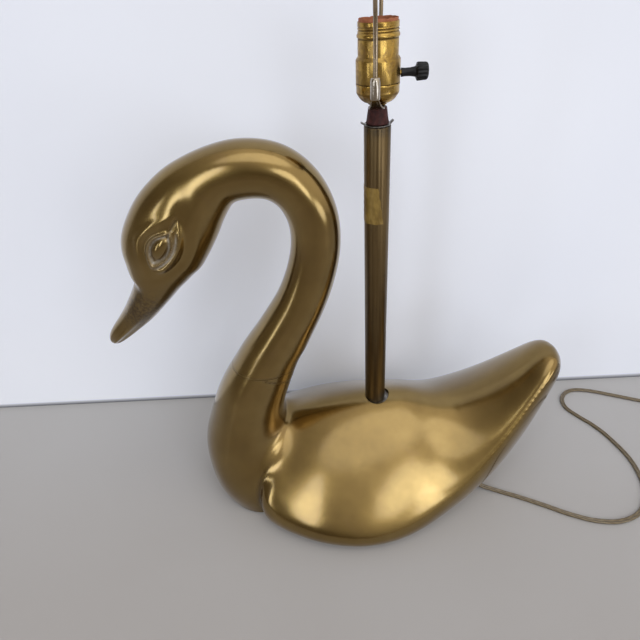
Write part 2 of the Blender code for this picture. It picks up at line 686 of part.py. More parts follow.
def socket_shell():
    tuck = SOCKET_R - SHEET - 0.0009
    step = JOINT_Z + 0.0162
    neck_top = SHELL_TOP - 0.0107
    ridge = SHELL_NECK_R + 0.0004
    outer = [(SHELL_NECK_R, SHELL_TOP)]
    for turn_number in range(3):
        z = SHELL_TOP - 0.0010 - 0.0024 * turn_number
        outer += [(SHELL_NECK_R, z), (ridge, z - 0.0008), (SHELL_NECK_R, z - 0.0016)]
    outer += [
        (ridge, neck_top + 0.0016), (ridge, neck_top + 0.0006), (SHELL_NECK_R, neck_top),
        (SHELL_NECK_R, step + 0.0024), (SOCKET_R, step), (SOCKET_R, JOINT_Z + GAP),
        (tuck, JOINT_Z + GAP), (tuck, JOINT_Z - 0.003),
    ]
    inner = [
        (tuck - SHEET, JOINT_Z - 0.003), (tuck - SHEET, JOINT_Z + 0.0008), (SOCKET_R - SHEET, JOINT_Z + 0.0014),
        (SOCKET_R - SHEET, step - 0.0002), (SHELL_NECK_R - SHEET, step + 0.0022),
        (SHELL_NECK_R - SHEET, SHELL_TOP),
    ]
    shell = turned("socket_shell", outer + inner, 32, "socket_brass")
    cut(shell, switch_hole("shell_switch_hole"))


def switch_hole(name):
    return cylinder(
        name, KNOB_STEM_R + 0.0011, 0, 0.03, where=(SOCKET_R - 0.008, 0, SWITCH_Z),
        turn=(0, math.radians(90), 0), sides=24,
    )


def socket_inside():
    liner_height = SHELL_TOP + LINER_STANDS_PROUD - LINER_Z
    liner = turned(
        "socket_liner", ring_profile(LINER_OUTER_R, LINER_INNER_R, LINER_Z, liner_height), 32, "fibre"
    )
    cut(liner, switch_hole("liner_switch_hole"))
    legs_z = CAP_Z + 0.0078
    flange_r = LINER_OUTER_R
    skirt_r = INTERIOR_R - 0.0006
    well = 0.0034
    interior = turned(
        "socket_interior",
        [
            (INTERIOR_R, INTERIOR_TOP), (INTERIOR_R, INTERIOR_Z + LINER_FLANGE),
            (flange_r, INTERIOR_Z + LINER_FLANGE), (flange_r, INTERIOR_Z), (skirt_r, INTERIOR_Z),
            (skirt_r, legs_z), (skirt_r - 0.002, legs_z), (skirt_r - 0.002, INTERIOR_Z),
            (well, INTERIOR_Z), (well, INTERIOR_Z + 0.004), (0, INTERIOR_Z + 0.004), (0, INTERIOR_TOP),
        ],
        32, "phenolic",
    )
    shaft_start = 0.005
    cut(
        interior,
        cylinder(
            "shaft_bore", SWITCH_SHAFT_R + RUNNING, 0, 0.03, where=(shaft_start - GAP, 0, SWITCH_Z),
            turn=(0, math.radians(90), 0), sides=20,
        ),
    )
    floor = INTERIOR_TOP + GAP
    top = floor + SCREW_SHELL_HEIGHT
    outer = [(SCREW_SHELL_R, top)]
    inner = [(0.0045, floor), (0.0045, floor + SHEET)]
    for turn_number in range(5, -1, -1):
        z = floor + 0.002 + 0.0030 * turn_number
        outer += [(SCREW_SHELL_R, z + 0.0015), (SCREW_SHELL_R - SHEET, z)]
    for turn_number in range(6):
        z = floor + 0.002 + 0.0030 * turn_number
        inner += [(SCREW_SHELL_R - 2 * SHEET, z), (SCREW_SHELL_R - SHEET, z + 0.0015)]
    outer += [(SCREW_SHELL_R - SHEET, floor)]
    inner += [(SCREW_SHELL_R - SHEET, top)]
    turned("screw_shell", outer + inner, 24, "socket_brass")
    turned(
        "centre_contact",
        [(0, floor + 0.0022), (0.0026, floor + 0.0018), (0.0036, floor), (0, floor)],
        20, "socket_brass",
    )
    for name, side, finish in (("terminal_screw_live", 1, "socket_brass"), ("terminal_screw_neutral", -1, "steel")):
        turned(
            name,
            [(0, -GAP), (0.0027, -GAP), (0.0027, -0.0015), (0.0022, -0.0022), (0, -0.0022)],
            16, finish, (0, side * 0.0072, INTERIOR_Z),
        )


# ---------------------------------------------------------------- switch
def fluted_ring(x, radius, depth):
    """A ring across X with one shallow hollow for each flute."""
    count = KNOB_FLUTES * 2
    points = []
    for i in range(count):
        angle = 2 * math.pi * i / count
        r = radius - (depth if i % 2 else 0)
        points.append((x, r * math.cos(angle), r * math.sin(angle)))
    return points


def switch_pieces():
    start = SOCKET_R + 0.0006
    head = start + KNOB_STEM_LENGTH
    end = head + KNOB_HEAD_LENGTH
    bore = SWITCH_SHAFT_R + GAP
    deep = head + KNOB_HEAD_LENGTH * 0.5
    rings = [
        fluted_ring(start, KNOB_STEM_R, 0),
        fluted_ring(head - 0.001, KNOB_STEM_R + 0.0006, 0),
        fluted_ring(head, KNOB_HEAD_R - 0.0008, 0.0002),
        fluted_ring(head + 0.0008, KNOB_HEAD_R, 0.0006),
        fluted_ring(end - 0.0010, KNOB_HEAD_R - 0.0004, 0.0006),
        fluted_ring(end, KNOB_HEAD_R - 0.0012, 0.0002),
    ]
    rings = [fluted_ring(deep, bore, 0), fluted_ring(start, bore, 0)] + rings
    add_object("switch_knob", ring_mesh("switch_knob", rings), "phenolic", (0, 0, SWITCH_Z))
    cylinder(
        "switch_shaft", SWITCH_SHAFT_R, 0, deep - GAP - 0.005, "socket_brass", (0.005, 0, SWITCH_Z),
        (0, math.radians(90), 0), 20,
    )


# ---------------------------------------------------------------- cord
def exit_point(distance):
    """A point on the axis of the cord's bush."""
    return Vector(
        (
            EXIT_START[0] + distance * math.cos(EXIT_TURN),
            EXIT_START[1] + distance * math.sin(EXIT_TURN),
            EXIT_Z,
        )
    )


def cord_notch(clearance, name="cord_notch"):
    """A round-topped notch in the rim, the bush's size plus a clearance."""
    radius = BUSH_R + clearance
    outline = [
        (radius * math.cos(angle), radius * math.sin(angle)) for angle in np.linspace(0, math.pi, 13)
    ]
    outline += [(-radius, -0.02), (radius, -0.02)]
    rings = [[(x, -y, z) for y, z in outline] for x in (-0.02, BUSH_LENGTH + 0.03)]
    return add_object(name, ring_mesh(name, rings), None, exit_point(0), (0, 0, EXIT_TURN))


def cord_bush():
    """Rubber strain relief where the cord leaves the casting."""
    bore = CORD_R + CORD_CLEARANCE
    turned(
        "cord_bush",
        [
            (bore, BUSH_LENGTH), (BUSH_TIP_R - 0.0002, BUSH_LENGTH), (BUSH_TIP_R, BUSH_LENGTH - 0.001),
            (BUSH_R, BUSH_LENGTH * 0.55), (BUSH_R, 0), (bore, 0),
        ],
        20, "rubber", exit_point(0), (0, math.radians(90), EXIT_TURN),
    )


def inner_cord():
    """The cord from the socket down the pipe and through the hollow body to the end of the bush."""
    top = INTERIOR_Z - 0.006
    inside = exit_point(-0.012)
    bend = [
        (0, 0, top), (0, 0, PIPE_Z + 0.01), (0, 0, PIPE_Z - 0.002), (0.0015, -0.001, PIPE_Z - 0.018),
        (0.012, -0.006, PIPE_Z - 0.042), (0.030, -0.014, PIPE_Z - 0.064), (0.052, -0.024, EXIT_Z + 0.012),
        (0.066, -0.032, EXIT_Z + 0.003), tuple(inside), tuple(exit_point(0)),
    ]
    lower = smooth_rows(bend[1:], np.linspace(0, len(bend) - 2, 25))
    line = [bend[0]] + [tuple(point) for point in lower] + [tuple(exit_point(BUSH_LENGTH))]
    tube("inner_cord", line, CORD_R - 0.0001, "cord")


def rim_point(angle, outward):
    """A point just off the coil's rim and the direction that meets the rim at COIL_ANGLE there, for a
    cord that goes round the coil clockwise."""
    radial = Vector((math.cos(angle), math.sin(angle), 0))
    forward = Vector((math.sin(angle), -math.cos(angle), 0))
    distance = COIL_MEAN_R + COIL_HALF + CORD_R * math.cos(COIL_ANGLE) + GAP
    place = Vector((*COIL_CENTRE, LYING_Z)) + radial * distance
    return place, forward * math.cos(COIL_ANGLE) + radial * math.sin(COIL_ANGLE) * outward


def cord_route():
    """The free cord's line from the bush to the coil."""
    first = exit_point(BUSH_LENGTH + GAP)
    second = exit_point(BUSH_LENGTH + 0.004)
    last, heading = rim_point(COIL_IN, -1)
    before = last - heading * 0.012
    laid = [(x, y, LYING_Z + lift) for x, y, lift in ROUTE]
    rows = [tuple(first), tuple(second)] + laid + [tuple(before), tuple(last)]
    fine = smooth_rows(rows, np.linspace(0, len(rows) - 1, 40 * len(rows)))
    return evenly(fine, ROUTE_POINTS)


def free_cord():
    tube("cord", cord_route(), CORD_R, "cord")
    outer = COIL_MEAN_R + COIL_HALF
    inner = COIL_MEAN_R - COIL_HALF
    turned(
        "cord_coil", ring_profile(outer, inner, CORD_CLEARANCE, COIL_HEIGHT), 32, "cord", (*COIL_CENTRE, 0)
    )
    plug()


def plug():
    """A flat two-blade plug that lies beside the coil, its cord end against the coil's rim."""
    place, heading = rim_point(COIL_OUT, 1)
    turn = math.atan2(heading.y, heading.x)
    middle = 0.0068
    rows = [
        (0.0, 0.0030, 0.0030), (0.010, 0.0046, 0.0042), (0.0125, 0.0090, 0.0058), (0.016, 0.0105, 0.0064),
        (0.030, 0.0112, 0.0066), (0.0345, 0.0108, 0.0062), (0.0355, 0.0098, 0.0054),
    ]
    rings = []
    for x, wide, thick in rows:
        ring = []
        for i in range(16):
            angle = 2 * math.pi * i / 16
            across = math.copysign(abs(math.cos(angle)) ** 0.5, math.cos(angle))
            over = math.copysign(abs(math.sin(angle)) ** 0.5, math.sin(angle))
            ring.append((x, wide * across, thick * over))
        rings.append(ring)
    where = (place.x, place.y, middle)
    add_object("plug_body", ring_mesh("plug_body", rings), "cord", where, (0, 0, turn))
    face = rows[-1][0] + GAP
    for name, side in (("plug_blade_left", -1), ("plug_blade_right", 1)):
        blade = block(
            name, (face, side * 0.00635 - 0.00075, -0.00315), (face + 0.0175, side * 0.00635 + 0.00075, 0.00315),
            "steel", where, (0, 0, turn),
        )
        bevel(blade, 0.0004, 1)


# ---------------------------------------------------------------- assembly
def lamp_middle():
    """X of the stem's axis when the world origin is under the middle of the lamp's length."""
    front = min(neck_ring(u)[:, 0].min() for u in stations(0, SEAM_U))
    back = max(ring[:, 0].max() for ring in body_rings())
    return -(front + back) / 2


FRAME.location = (lamp_middle(), 0, 0)
swan_body()
swan_neck()
base_pieces()
stem_pieces()
harp_pieces()
socket_cap()
socket_shell()
socket_inside()
switch_pieces()
cord_bush()
inner_cord()
free_cord()
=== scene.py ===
"""Brass swan table lamp: the looks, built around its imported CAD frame.

Lengths are metres. The swan faces -X and its plane of symmetry is Y = 0. The CAD hangs on the stem's
axis, so most places here are relative to that axis too, and on_stem() moves them to it.
"""

import json
import math

import bmesh
import bpy
import numpy as np
from mathutils import Matrix, Vector
from mathutils.bvhtree import BVHTree

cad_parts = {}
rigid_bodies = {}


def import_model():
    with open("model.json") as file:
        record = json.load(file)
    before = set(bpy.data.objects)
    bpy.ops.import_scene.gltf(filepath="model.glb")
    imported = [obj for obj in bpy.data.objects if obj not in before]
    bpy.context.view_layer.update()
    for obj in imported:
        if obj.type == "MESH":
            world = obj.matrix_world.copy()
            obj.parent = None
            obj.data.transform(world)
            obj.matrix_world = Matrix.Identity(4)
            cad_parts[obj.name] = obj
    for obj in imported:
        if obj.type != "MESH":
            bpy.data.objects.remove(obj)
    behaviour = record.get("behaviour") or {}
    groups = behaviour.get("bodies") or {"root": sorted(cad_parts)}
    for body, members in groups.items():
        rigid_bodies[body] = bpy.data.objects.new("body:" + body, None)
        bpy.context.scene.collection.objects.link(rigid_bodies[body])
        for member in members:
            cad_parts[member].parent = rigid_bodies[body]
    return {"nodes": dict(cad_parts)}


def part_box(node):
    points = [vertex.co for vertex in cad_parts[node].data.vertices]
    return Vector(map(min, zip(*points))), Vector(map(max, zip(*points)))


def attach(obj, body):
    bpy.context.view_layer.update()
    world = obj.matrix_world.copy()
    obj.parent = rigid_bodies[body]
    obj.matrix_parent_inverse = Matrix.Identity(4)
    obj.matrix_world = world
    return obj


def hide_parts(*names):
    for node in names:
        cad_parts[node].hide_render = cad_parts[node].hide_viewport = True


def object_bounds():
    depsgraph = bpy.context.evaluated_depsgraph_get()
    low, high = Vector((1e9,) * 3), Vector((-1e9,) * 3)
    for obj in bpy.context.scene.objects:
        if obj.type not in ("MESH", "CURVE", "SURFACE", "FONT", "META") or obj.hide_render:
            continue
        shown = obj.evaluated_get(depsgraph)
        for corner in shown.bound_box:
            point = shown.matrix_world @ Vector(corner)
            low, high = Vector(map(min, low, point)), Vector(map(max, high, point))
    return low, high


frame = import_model()
CAD_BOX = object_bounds()


def centre_of(node):
    low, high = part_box(node)
    return (low + high) / 2


def radius_of(node):
    low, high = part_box(node)
    return (high.y - low.y) / 2


STEM_X = centre_of("stem_tube").x
GAP = 0.0003


def on_stem(points):
    """Points relative to the stem's axis, in the row frame."""
    return np.array(points, float) + (STEM_X, 0, 0)


# ---------------------------------------------------------------- small helpers
def placed(name, data):
    """A new object in the scene."""
    made = bpy.data.objects.new(name, data)
    bpy.context.scene.collection.objects.link(made)
    return made


def mesh_of(name, points, faces):
    mesh = bpy.data.meshes.new(name)
    mesh.from_pydata([tuple(point) for point in points], [], faces)
    return mesh


def paint(data, material):
    data.materials.clear()
    data.materials.append(material)


def add_piece(name, points, faces, material, body="lamp", slot=None, replaces=(), sharp=None):
    """A smooth-shaded piece that rides on a body."""
    made = placed(name, mesh_of(name, points, faces))
    smooth(made.data, sharp)
    paint(made.data, material)
    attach(made, body)
    if replaces:
        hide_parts(*replaces)
    return made


def loft_faces(rings, around, closed_ends=True):
    """Faces over rings of points, with a face on each end."""
    faces = []
    for r in range(rings - 1):
        a, b = r * around, (r + 1) * around
        for i in range(around):
            j = (i + 1) % around
            faces.append((a + i, a + j, b + j, b + i))
    if closed_ends:
        faces.append(tuple(range(around))[::-1])
        faces.append(tuple(range((rings - 1) * around, rings * around)))
    return faces


def mesh_from(bm, name):
    mesh = bpy.data.meshes.new(name)
    bm.to_mesh(mesh)
    bm.free()
    return mesh


def evaluated_mesh(made):
    """The object's mesh with its modifiers applied."""
    return bpy.data.meshes.new_from_object(made.evaluated_get(bpy.context.evaluated_depsgraph_get()))


def smooth(mesh, sharp):
    """Smooth shading, apart from edges sharper than so many degrees."""
    mesh.shade_smooth()
    if sharp:
        mesh.set_sharp_from_angle(angle=math.radians(sharp))


def values_of(items, name, width, kind=float):
    """One of the properties of all points, corners or edges of a mesh, as rows of that width."""
    values = np.zeros(len(items) * width, kind)
    items.foreach_get(name, values)
    return values.reshape(-1, width)


def loft(name, rings, **how):
    rings = np.array(rings)
    made = add_piece(name, rings.reshape(-1, 3), loft_faces(len(rings), rings.shape[1]), **how)
    face_outwards(made.data)
    return made


def face_outwards(mesh, merge=False):
    bm = bmesh.new()
    bm.from_mesh(mesh)
    if merge:
        bmesh.ops.remove_doubles(bm, verts=bm.verts, dist=1e-6)
        bmesh.ops.dissolve_degenerate(bm, edges=bm.edges, dist=1e-7)
    bmesh.ops.recalc_face_normals(bm, faces=bm.faces)
    bm.to_mesh(mesh)
    bm.free()


def turned_rings(profile, steps, wobble=None):
    """Rings about Z through each (radius, height) of a profile, as (angle, radius, height) may shift it."""
    angles = around(steps)
    rings = []
    for radius, height in profile:
        r = np.full(steps, radius)
        z = np.full(steps, height)
        if wobble:
            r, z = wobble(angles, r, z)
        rings.append(np.stack([r * np.cos(angles), r * np.sin(angles), z], axis=1))
    return rings


def turned(name, profile, steps=96, at=None, wobble=None, **how):
    """A piece turned about the stem's axis, or about the upright axis through at.

    Its profile goes once round its section, or from the axis back to it.
    """
    rings = turned_rings(profile, steps, wobble)
    points = np.array(rings).reshape(-1, 3)
    faces = loft_faces(len(rings), steps, closed_ends=False)
    if profile[0][0] > 0:
        last = (len(rings) - 1) * steps
        faces += [(last + i, last + (i + 1) % steps, (i + 1) % steps, i) for i in range(steps)]
    made = add_piece(name, on_stem(points) if at is None else points + at, faces, **how)
    face_outwards(made.data, merge=True)
    smooth(made.data, 40)
    return made


def near(r, z, *steps):
    """Points of a profile, as steps from (r, z) in tenths of a millimetre."""
    return [(r + out / 1e4, z + up / 1e4) for out, up in steps]


def shares(r, z, *steps):
    """Points of a profile: each a share of r, and a step from z in tenths of a millimetre."""
    return [(r * share, z + up / 1e4) for share, up in steps]


def ragged(angles, size):
    """An uneven edge that closes on itself, from 0 to size."""
    waves = (3, 7, 13, 22)
    return size * (0.5 + sum(np.sin(wave * angles + wave**2) for wave in waves) / (2 * len(waves)))


def cutter(name, mesh):
    """An object for cut(), kept out of the scene."""
    made = bpy.data.objects.new(name, mesh)
    CUTTERS.objects.link(made)
    return made


def cut(made, cutters):
    """Takes one cutter, or all those in CUTTERS, out of a piece and removes them."""
    minus = made.modifiers.new("cut", "BOOLEAN")
    minus.solver = "EXACT"
    if len(cutters) == 1:
        minus.object = cutters[0]
    else:
        minus.operand_type = "COLLECTION"
        minus.collection = CUTTERS
    made.data = evaluated_mesh(made)
    made.modifiers.clear()
    for used in cutters:
        bpy.data.objects.remove(used, do_unlink=True)


def bored(made, radius, place, axis):
    """The piece with a round hole through it."""
    bm = bmesh.new()
    turn = Vector(axis).to_track_quat("Z", "X").to_matrix().to_4x4()
    where = Matrix.Translation(place) @ turn
    bmesh.ops.create_cone(
        bm, cap_ends=True, segments=64, radius1=radius, radius2=radius, depth=0.03, matrix=where,
    )
    cut(made, [cutter("drill", mesh_from(bm, "drill"))])
    smooth(made.data, 40)


def add_grime_and_shade(made, share):
    """Marks dark deposits and painted shade on a piece, as share(x, y, z) of its points relative to the
    stem's axis.
    """
    x, y, z = (values_of(made.data.vertices, "co", 3) - (STEM_X, 0, 0)).T
    set_attribute(made.data, "grime_and_shade", np.clip(share(x, y, z), 0, 1))


def spline(rows, at):
    """Rows of numbers on a Catmull-Rom spline through the given rows, at places counted in rows."""
    rows = np.array(rows, float)
    ends = np.vstack([2 * rows[0] - rows[1], rows, 2 * rows[-1] - rows[-2]])
    at = np.asarray(at, float)
    i = np.minimum(at.astype(int), len(rows) - 2)
    t = (at - i)[:, None]
    a, b, c, d = ends[i], ends[i + 1], ends[i + 2], ends[i + 3]
    return (2 * b + (c - a) * t + (2 * a - 5 * b + 4 * c - d) * t**2 + (3 * b - a - 3 * c + d) * t**3) / 2


def splined(rows, count):
    """That many points along the whole of a spline through the rows."""
    return spline(rows, np.linspace(0, len(rows) - 1, count))


def evenly(points, step):
    """The same line with its points about one step apart."""
    points = np.array(points, float)
    along = np.concatenate([[0], np.cumsum(np.linalg.norm(np.diff(points, axis=0), axis=1))])
    at = np.linspace(0, along[-1], max(2, round(along[-1] / step) + 1))
    return np.stack([np.interp(at, along, points[:, k]) for k in range(points.shape[1])], axis=1)


def softened(values, at, spread):
    """Rows smoothed over neighbours with a bell of that spread, both ends held by carrying their line on."""
    step = at[1] - at[0]
    reach = int(3 * spread / step)
    before = 2 * values[0] - values[reach:0:-1]
    after = 2 * values[-1] - values[-2 : -reach - 2 : -1]
    padded = np.vstack([before, values, after])
    bell = np.exp(-0.5 * (np.arange(-reach, reach + 1) * step / spread) ** 2)
    bell /= bell.sum()
    return np.stack([np.convolve(padded[:, k], bell, "valid") for k in range(values.shape[1])], axis=1)


def around(count):
    """That many angles round a circle."""
    return np.linspace(0, 2 * math.pi, count, endpoint=False)


def unit(rows):
    return rows / np.linalg.norm(rows, axis=1)[:, None]


def rise(x, low, high):
    """0 below low, 1 above high, smooth between."""
    t = np.clip((np.asarray(x, float) - low) / (high - low), 0, 1)
    return t * t * (3 - 2 * t)


def between(x, start, full, fading, gone):
    """0 up to start, 1 from full to fading, 0 again from gone on."""
    return rise(x, start, full) * (1 - rise(x, fading, gone))


def bell(x, width):
    return np.exp(-((np.asarray(x, float) / width) ** 2))


# ---------------------------------------------------------------- materials
class Shader:
    """A material and short calls that add nodes to it."""

    def __init__(self, name):
        self.material = bpy.data.materials.new(name)
        self.material.use_nodes = True
        self.tree = self.material.node_tree
        self.surface = self.tree.nodes["Principled BSDF"]
        self.place = self.add("ShaderNodeTexCoord").outputs["Object"]

    def add(self, kind, **sockets):
        made = self.tree.nodes.new(kind)
        for key, value in sockets.items():
            self.put(made.inputs[key.replace("_", " ")], value)
        return made

    def put(self, socket, value):
        if isinstance(value, bpy.types.NodeSocket):
            self.tree.links.new(value, socket)
        else:
            socket.default_value = value

    def set(self, **sockets):
        for key, value in sockets.items():
            if key == "Base_Color" and isinstance(value, tuple):
                value = (*value, 1.0)
            self.put(self.surface.inputs[key.replace("_", " ")], value)

    def stretched(self, scale, place=None):
        made = self.tree.nodes.new("ShaderNodeVectorMath")
        made.operation = "MULTIPLY"
        self.put(made.inputs[0], place or self.place)
        made.inputs[1].default_value = scale
        return made.outputs[0]

    def noise(self, scale, detail=2.0, roughness=0.5, stretch=None, distortion=0.0):
        place = self.stretched(stretch) if stretch else self.place
        made = self.add("ShaderNodeTexNoise", Vector=place, Scale=scale, Detail=detail, Roughness=roughness)
        made.inputs["Distortion"].default_value = distortion
        return made.outputs["Fac"]

    def cells(self, scale):
        """Distance to the nearest of many scattered points, in cells."""
        made = self.add("ShaderNodeTexVoronoi", Vector=self.place, Scale=scale)
        return made.outputs["Distance"]

    def attribute(self, name):
        made = self.tree.nodes.new("ShaderNodeAttribute")
        made.attribute_name = name
        return made.outputs["Fac"]

    def along(self, axis="Z"):
        """How far the point is along an axis; Z is its height above the table."""
        return self.add("ShaderNodeSeparateXYZ", Vector=self.place).outputs[axis]

    def ramp(self, fac, *stops):
        """Values or colours along a ramp, as (place, value) pairs."""
        made = self.tree.nodes.new("ShaderNodeValToRGB")
        self.put(made.inputs["Fac"], fac)
        while len(made.color_ramp.elements) < len(stops):
            made.color_ramp.elements.new(0.5)
        for element, (place, value) in zip(made.color_ramp.elements, stops):
            element.position = place
            element.color = (*value, 1) if isinstance(value, tuple) else (value, value, value, 1)
        return made.outputs["Color"]

    def mix(self, fac, a, b, blend="MIX"):
        made = self.tree.nodes.new("ShaderNodeMix")
        made.data_type = "RGBA"
        made.blend_type = blend
        self.put(made.inputs[0], fac)
        for socket, value in ((made.inputs[6], a), (made.inputs[7], b)):
            self.put(socket, (*value, 1) if isinstance(value, tuple) else value)
        return made.outputs[2]

    def math(self, operation, a, b, clamp=False):
        made = self.tree.nodes.new("ShaderNodeMath")
        made.operation = operation
        made.use_clamp = clamp
        self.put(made.inputs[0], a)
        self.put(made.inputs[1], b)
        return made.outputs[0]

    def times(self, a, b, clamp=False):
        return self.math("MULTIPLY", a, b, clamp)

    def plus(self, a, b, clamp=False):
        return self.math("ADD", a, b, clamp)

    def step(self, fac, low, high):
        """0 below low, 1 above high."""
        return self.ramp(fac, (low, 0.0), (high, 1.0))

    def tinted(self, colour, where, strength, tint):
        return self.mix(self.times(where, strength), colour, tint)

    def bump(self, height, strength, distance, normal=None):
        made = self.add("ShaderNodeBump", Height=height, Strength=strength, Distance=distance)
        if normal:
            self.put(made.inputs["Normal"], normal)
        return made.outputs["Normal"]


def cast_brass():
    """Warm polished brass: cloudy tone, fine brush marks, a few pits, polish in the grooves, and dark
    deposits and painted shade in the creases and hollows.
    """
    m = Shader("cast_brass")
    cloud = m.noise(9, 3, 0.55)
    fine = m.noise(60, 3, 0.6)
    tone = m.plus(m.times(cloud, 0.75), m.times(fine, 0.25))
    colour = m.ramp(tone, (0.30, (0.185, 0.118, 0.034)), (0.52, (0.245, 0.162, 0.048)),
                    (0.72, (0.31, 0.213, 0.070)))
    stain = m.step(m.noise(26, 4, 0.62, distortion=0.6), 0.60, 0.72)
    colour = m.tinted(colour, stain, 0.30, (0.25, 0.16, 0.07))
    # Darker where grime_and_shade is high: real dirt at the seam and on the pitted bill, painted shade in the
    # crease and round the eyes.
    grime_and_shade = m.attribute("grime_and_shade")
    colour = m.tinted(colour, grime_and_shade, 0.80, (0.075, 0.052, 0.028))
    pitted = m.attribute("pitted")
    blotch = m.times(pitted, m.step(m.noise(330, 3, 0.6), 0.42, 0.56))
    colour = m.tinted(colour, blotch, 0.65, (0.065, 0.045, 0.028))
    residue = m.attribute("residue")
    chalk = m.ramp(m.noise(700, 3, 0.7), (0.36, 0.25), (0.55, 1.0))
    residue = m.times(residue, chalk, clamp=True)
    colour = m.tinted(colour, residue, 0.85, (0.36, 0.335, 0.29))
    m.set(Base_Color=colour)
    m.set(Metallic=m.math("SUBTRACT", 1.0, m.times(residue, 0.85), clamp=True))
    smear = m.noise(14, 2, 0.5, stretch=(1, 1, 2.2))
    rough = m.ramp(smear, (0.35, 0.165), (0.65, 0.235))
    rough = m.plus(rough, m.times(grime_and_shade, 0.25))
    rough = m.plus(rough, m.times(residue, 0.4), clamp=True)
    m.set(Roughness=rough)
    brush = m.noise(260, 3, 0.6, stretch=(1.0, 1.0, 0.14), distortion=0.4)
    cross = m.noise(900, 2, 0.6, stretch=(0.10, 1.0, 1.0))
    normal = m.bump(brush, 0.055, 0.0006)
    normal = m.bump(cross, 0.035, 0.0003, normal)
    pits = m.step(m.cells(330), 0.05, 0.16)
    normal = m.bump(m.times(pits, pitted), 0.7, 0.0010, normal)
    m.set(Normal=normal, Coat_Weight=0.6, Coat_Roughness=0.14)
    return m.material


def stem_brass():
    """Dark antique brass tube with streaks along it."""
    m = Shader("stem_brass")
    streak = m.noise(420, 3, 0.6, stretch=(1, 1, 0.02))
    cloud = m.noise(22, 3, 0.6, stretch=(1, 1, 0.35))
    tone = m.plus(m.times(streak, 0.45), m.times(cloud, 0.55))
    colour = m.ramp(tone, (0.34, (0.085, 0.056, 0.025)), (0.50, (0.14, 0.095, 0.043)),
                    (0.66, (0.21, 0.145, 0.068)))
    spots = m.step(m.noise(170, 4, 0.7), 0.60, 0.70)
    colour = m.tinted(colour, spots, 0.45, (0.09, 0.065, 0.04))
    ends = m.step(m.along(), 0.405, 0.4125)
    ends = m.times(ends, m.ramp(m.noise(240, 3, 0.7), (0.35, 0.3), (0.6, 1.0)))
    colour = m.tinted(colour, ends, 0.85, (0.055, 0.045, 0.035))
    m.set(Base_Color=colour, Metallic=1.0)
    m.set(Roughness=m.ramp(cloud, (0.35, 0.30), (0.65, 0.44)))
    m.set(Normal=m.bump(streak, 0.10, 0.0003, m.bump(m.noise(1500, 2, 0.6), 0.05, 0.0002)))
    return m.material


def socket_brass(name="socket_brass", tarnish=0.8):
    """Lacquered gold sheet with brown tarnish where the lacquer has gone."""
    m = Shader(name)
    colour = m.ramp(m.noise(45, 3, 0.6), (0.35, (0.34, 0.205, 0.045)), (0.65, (0.50, 0.325, 0.085)))
    patch = m.step(m.noise(95, 5, 0.68, distortion=1.2), 0.48, 0.60)
    colour = m.tinted(colour, patch, 0.70 * tarnish, (0.20, 0.12, 0.05))
    spots = m.step(m.noise(420, 3, 0.6), 0.62, 0.70)
    colour = m.tinted(colour, spots, 0.5 * tarnish, (0.16, 0.09, 0.04))
    # Darker where grime_and_shade is high: painted shade under the cap and in its dents, and darker grooves
    # and seams on the shell.
    grime_and_shade = m.attribute("grime_and_shade")
    colour = m.tinted(colour, grime_and_shade, 0.85, (0.07, 0.045, 0.02))
    m.set(Base_Color=colour, Metallic=1.0)
    rough = m.plus(m.ramp(patch, (0.0, 0.21), (1.0, 0.38)), m.times(grime_and_shade, 0.3))
    m.set(Roughness=rough)
    m.set(Normal=m.bump(m.noise(160, 2, 0.5), 0.10, 0.0006, m.bump(m.noise(1400, 2, 0.6), 0.05, 0.0002)))
    return m.material


def metal(name, light, dark, rough, scale=120.0, streaks=(1, 1, 1)):
    """Plain worn metal with a cloudy tone."""
    m = Shader(name)
    cloud = m.noise(scale, 3, 0.6, stretch=streaks)
    colour = m.ramp(cloud, (0.35, dark), (0.62, light))
    # Darker where grime_and_shade is high: on the saddle this is painted shade under the socket's cap.
    colour = m.tinted(colour, m.attribute("grime_and_shade"), 0.9, (0.13, 0.085, 0.035))
    m.set(Base_Color=colour, Metallic=1.0)
    m.set(Roughness=m.ramp(cloud, (0.35, rough + 0.12), (0.65, rough)))
    m.set(Normal=m.bump(m.noise(scale * 8, 2, 0.6), 0.12, 0.0002))
    return m.material


def plain(name, light, dark, rough, scale=200.0, bump=0.15):
    """A moulded, rubbery or papery surface with a little grain."""
    m = Shader(name)
    grain = m.noise(scale, 3, 0.6)
    m.set(Base_Color=m.ramp(grain, (0.35, dark), (0.65, light)), Metallic=0.0)
    m.set(Roughness=m.ramp(grain, (0.35, rough + 0.10), (0.65, rough)), Specular_IOR_Level=0.25)
    m.set(Normal=m.bump(grain, bump, 0.0003))
    return m.material


def cord_plastic():
    """Clear gold plastic over twisted strands, painted lighter and darker along their twist as a painted
    glint that comes and goes along the cord.
    """
    m = Shader("cord_plastic")
    twist_and_glint = m.attribute("twist_and_glint")
    # Painted glint: the copper of the strands is painted lighter and darker along their twist.
    strands = m.ramp(twist_and_glint, (0.0, (0.09, 0.063, 0.028)), (0.5, (0.13, 0.093, 0.042)),
                     (1.0, (0.18, 0.135, 0.068)))
    colour = m.mix(m.times(m.noise(60, 3, 0.6), 0.5), strands, (0.11, 0.078, 0.035))
    m.set(Base_Color=colour, Metallic=0.25, Roughness=0.28)
    m.set(Normal=m.bump(twist_and_glint, 0.10, 0.0002))
    m.set(Coat_Weight=0.6, Coat_Roughness=0.12)
    return m.material


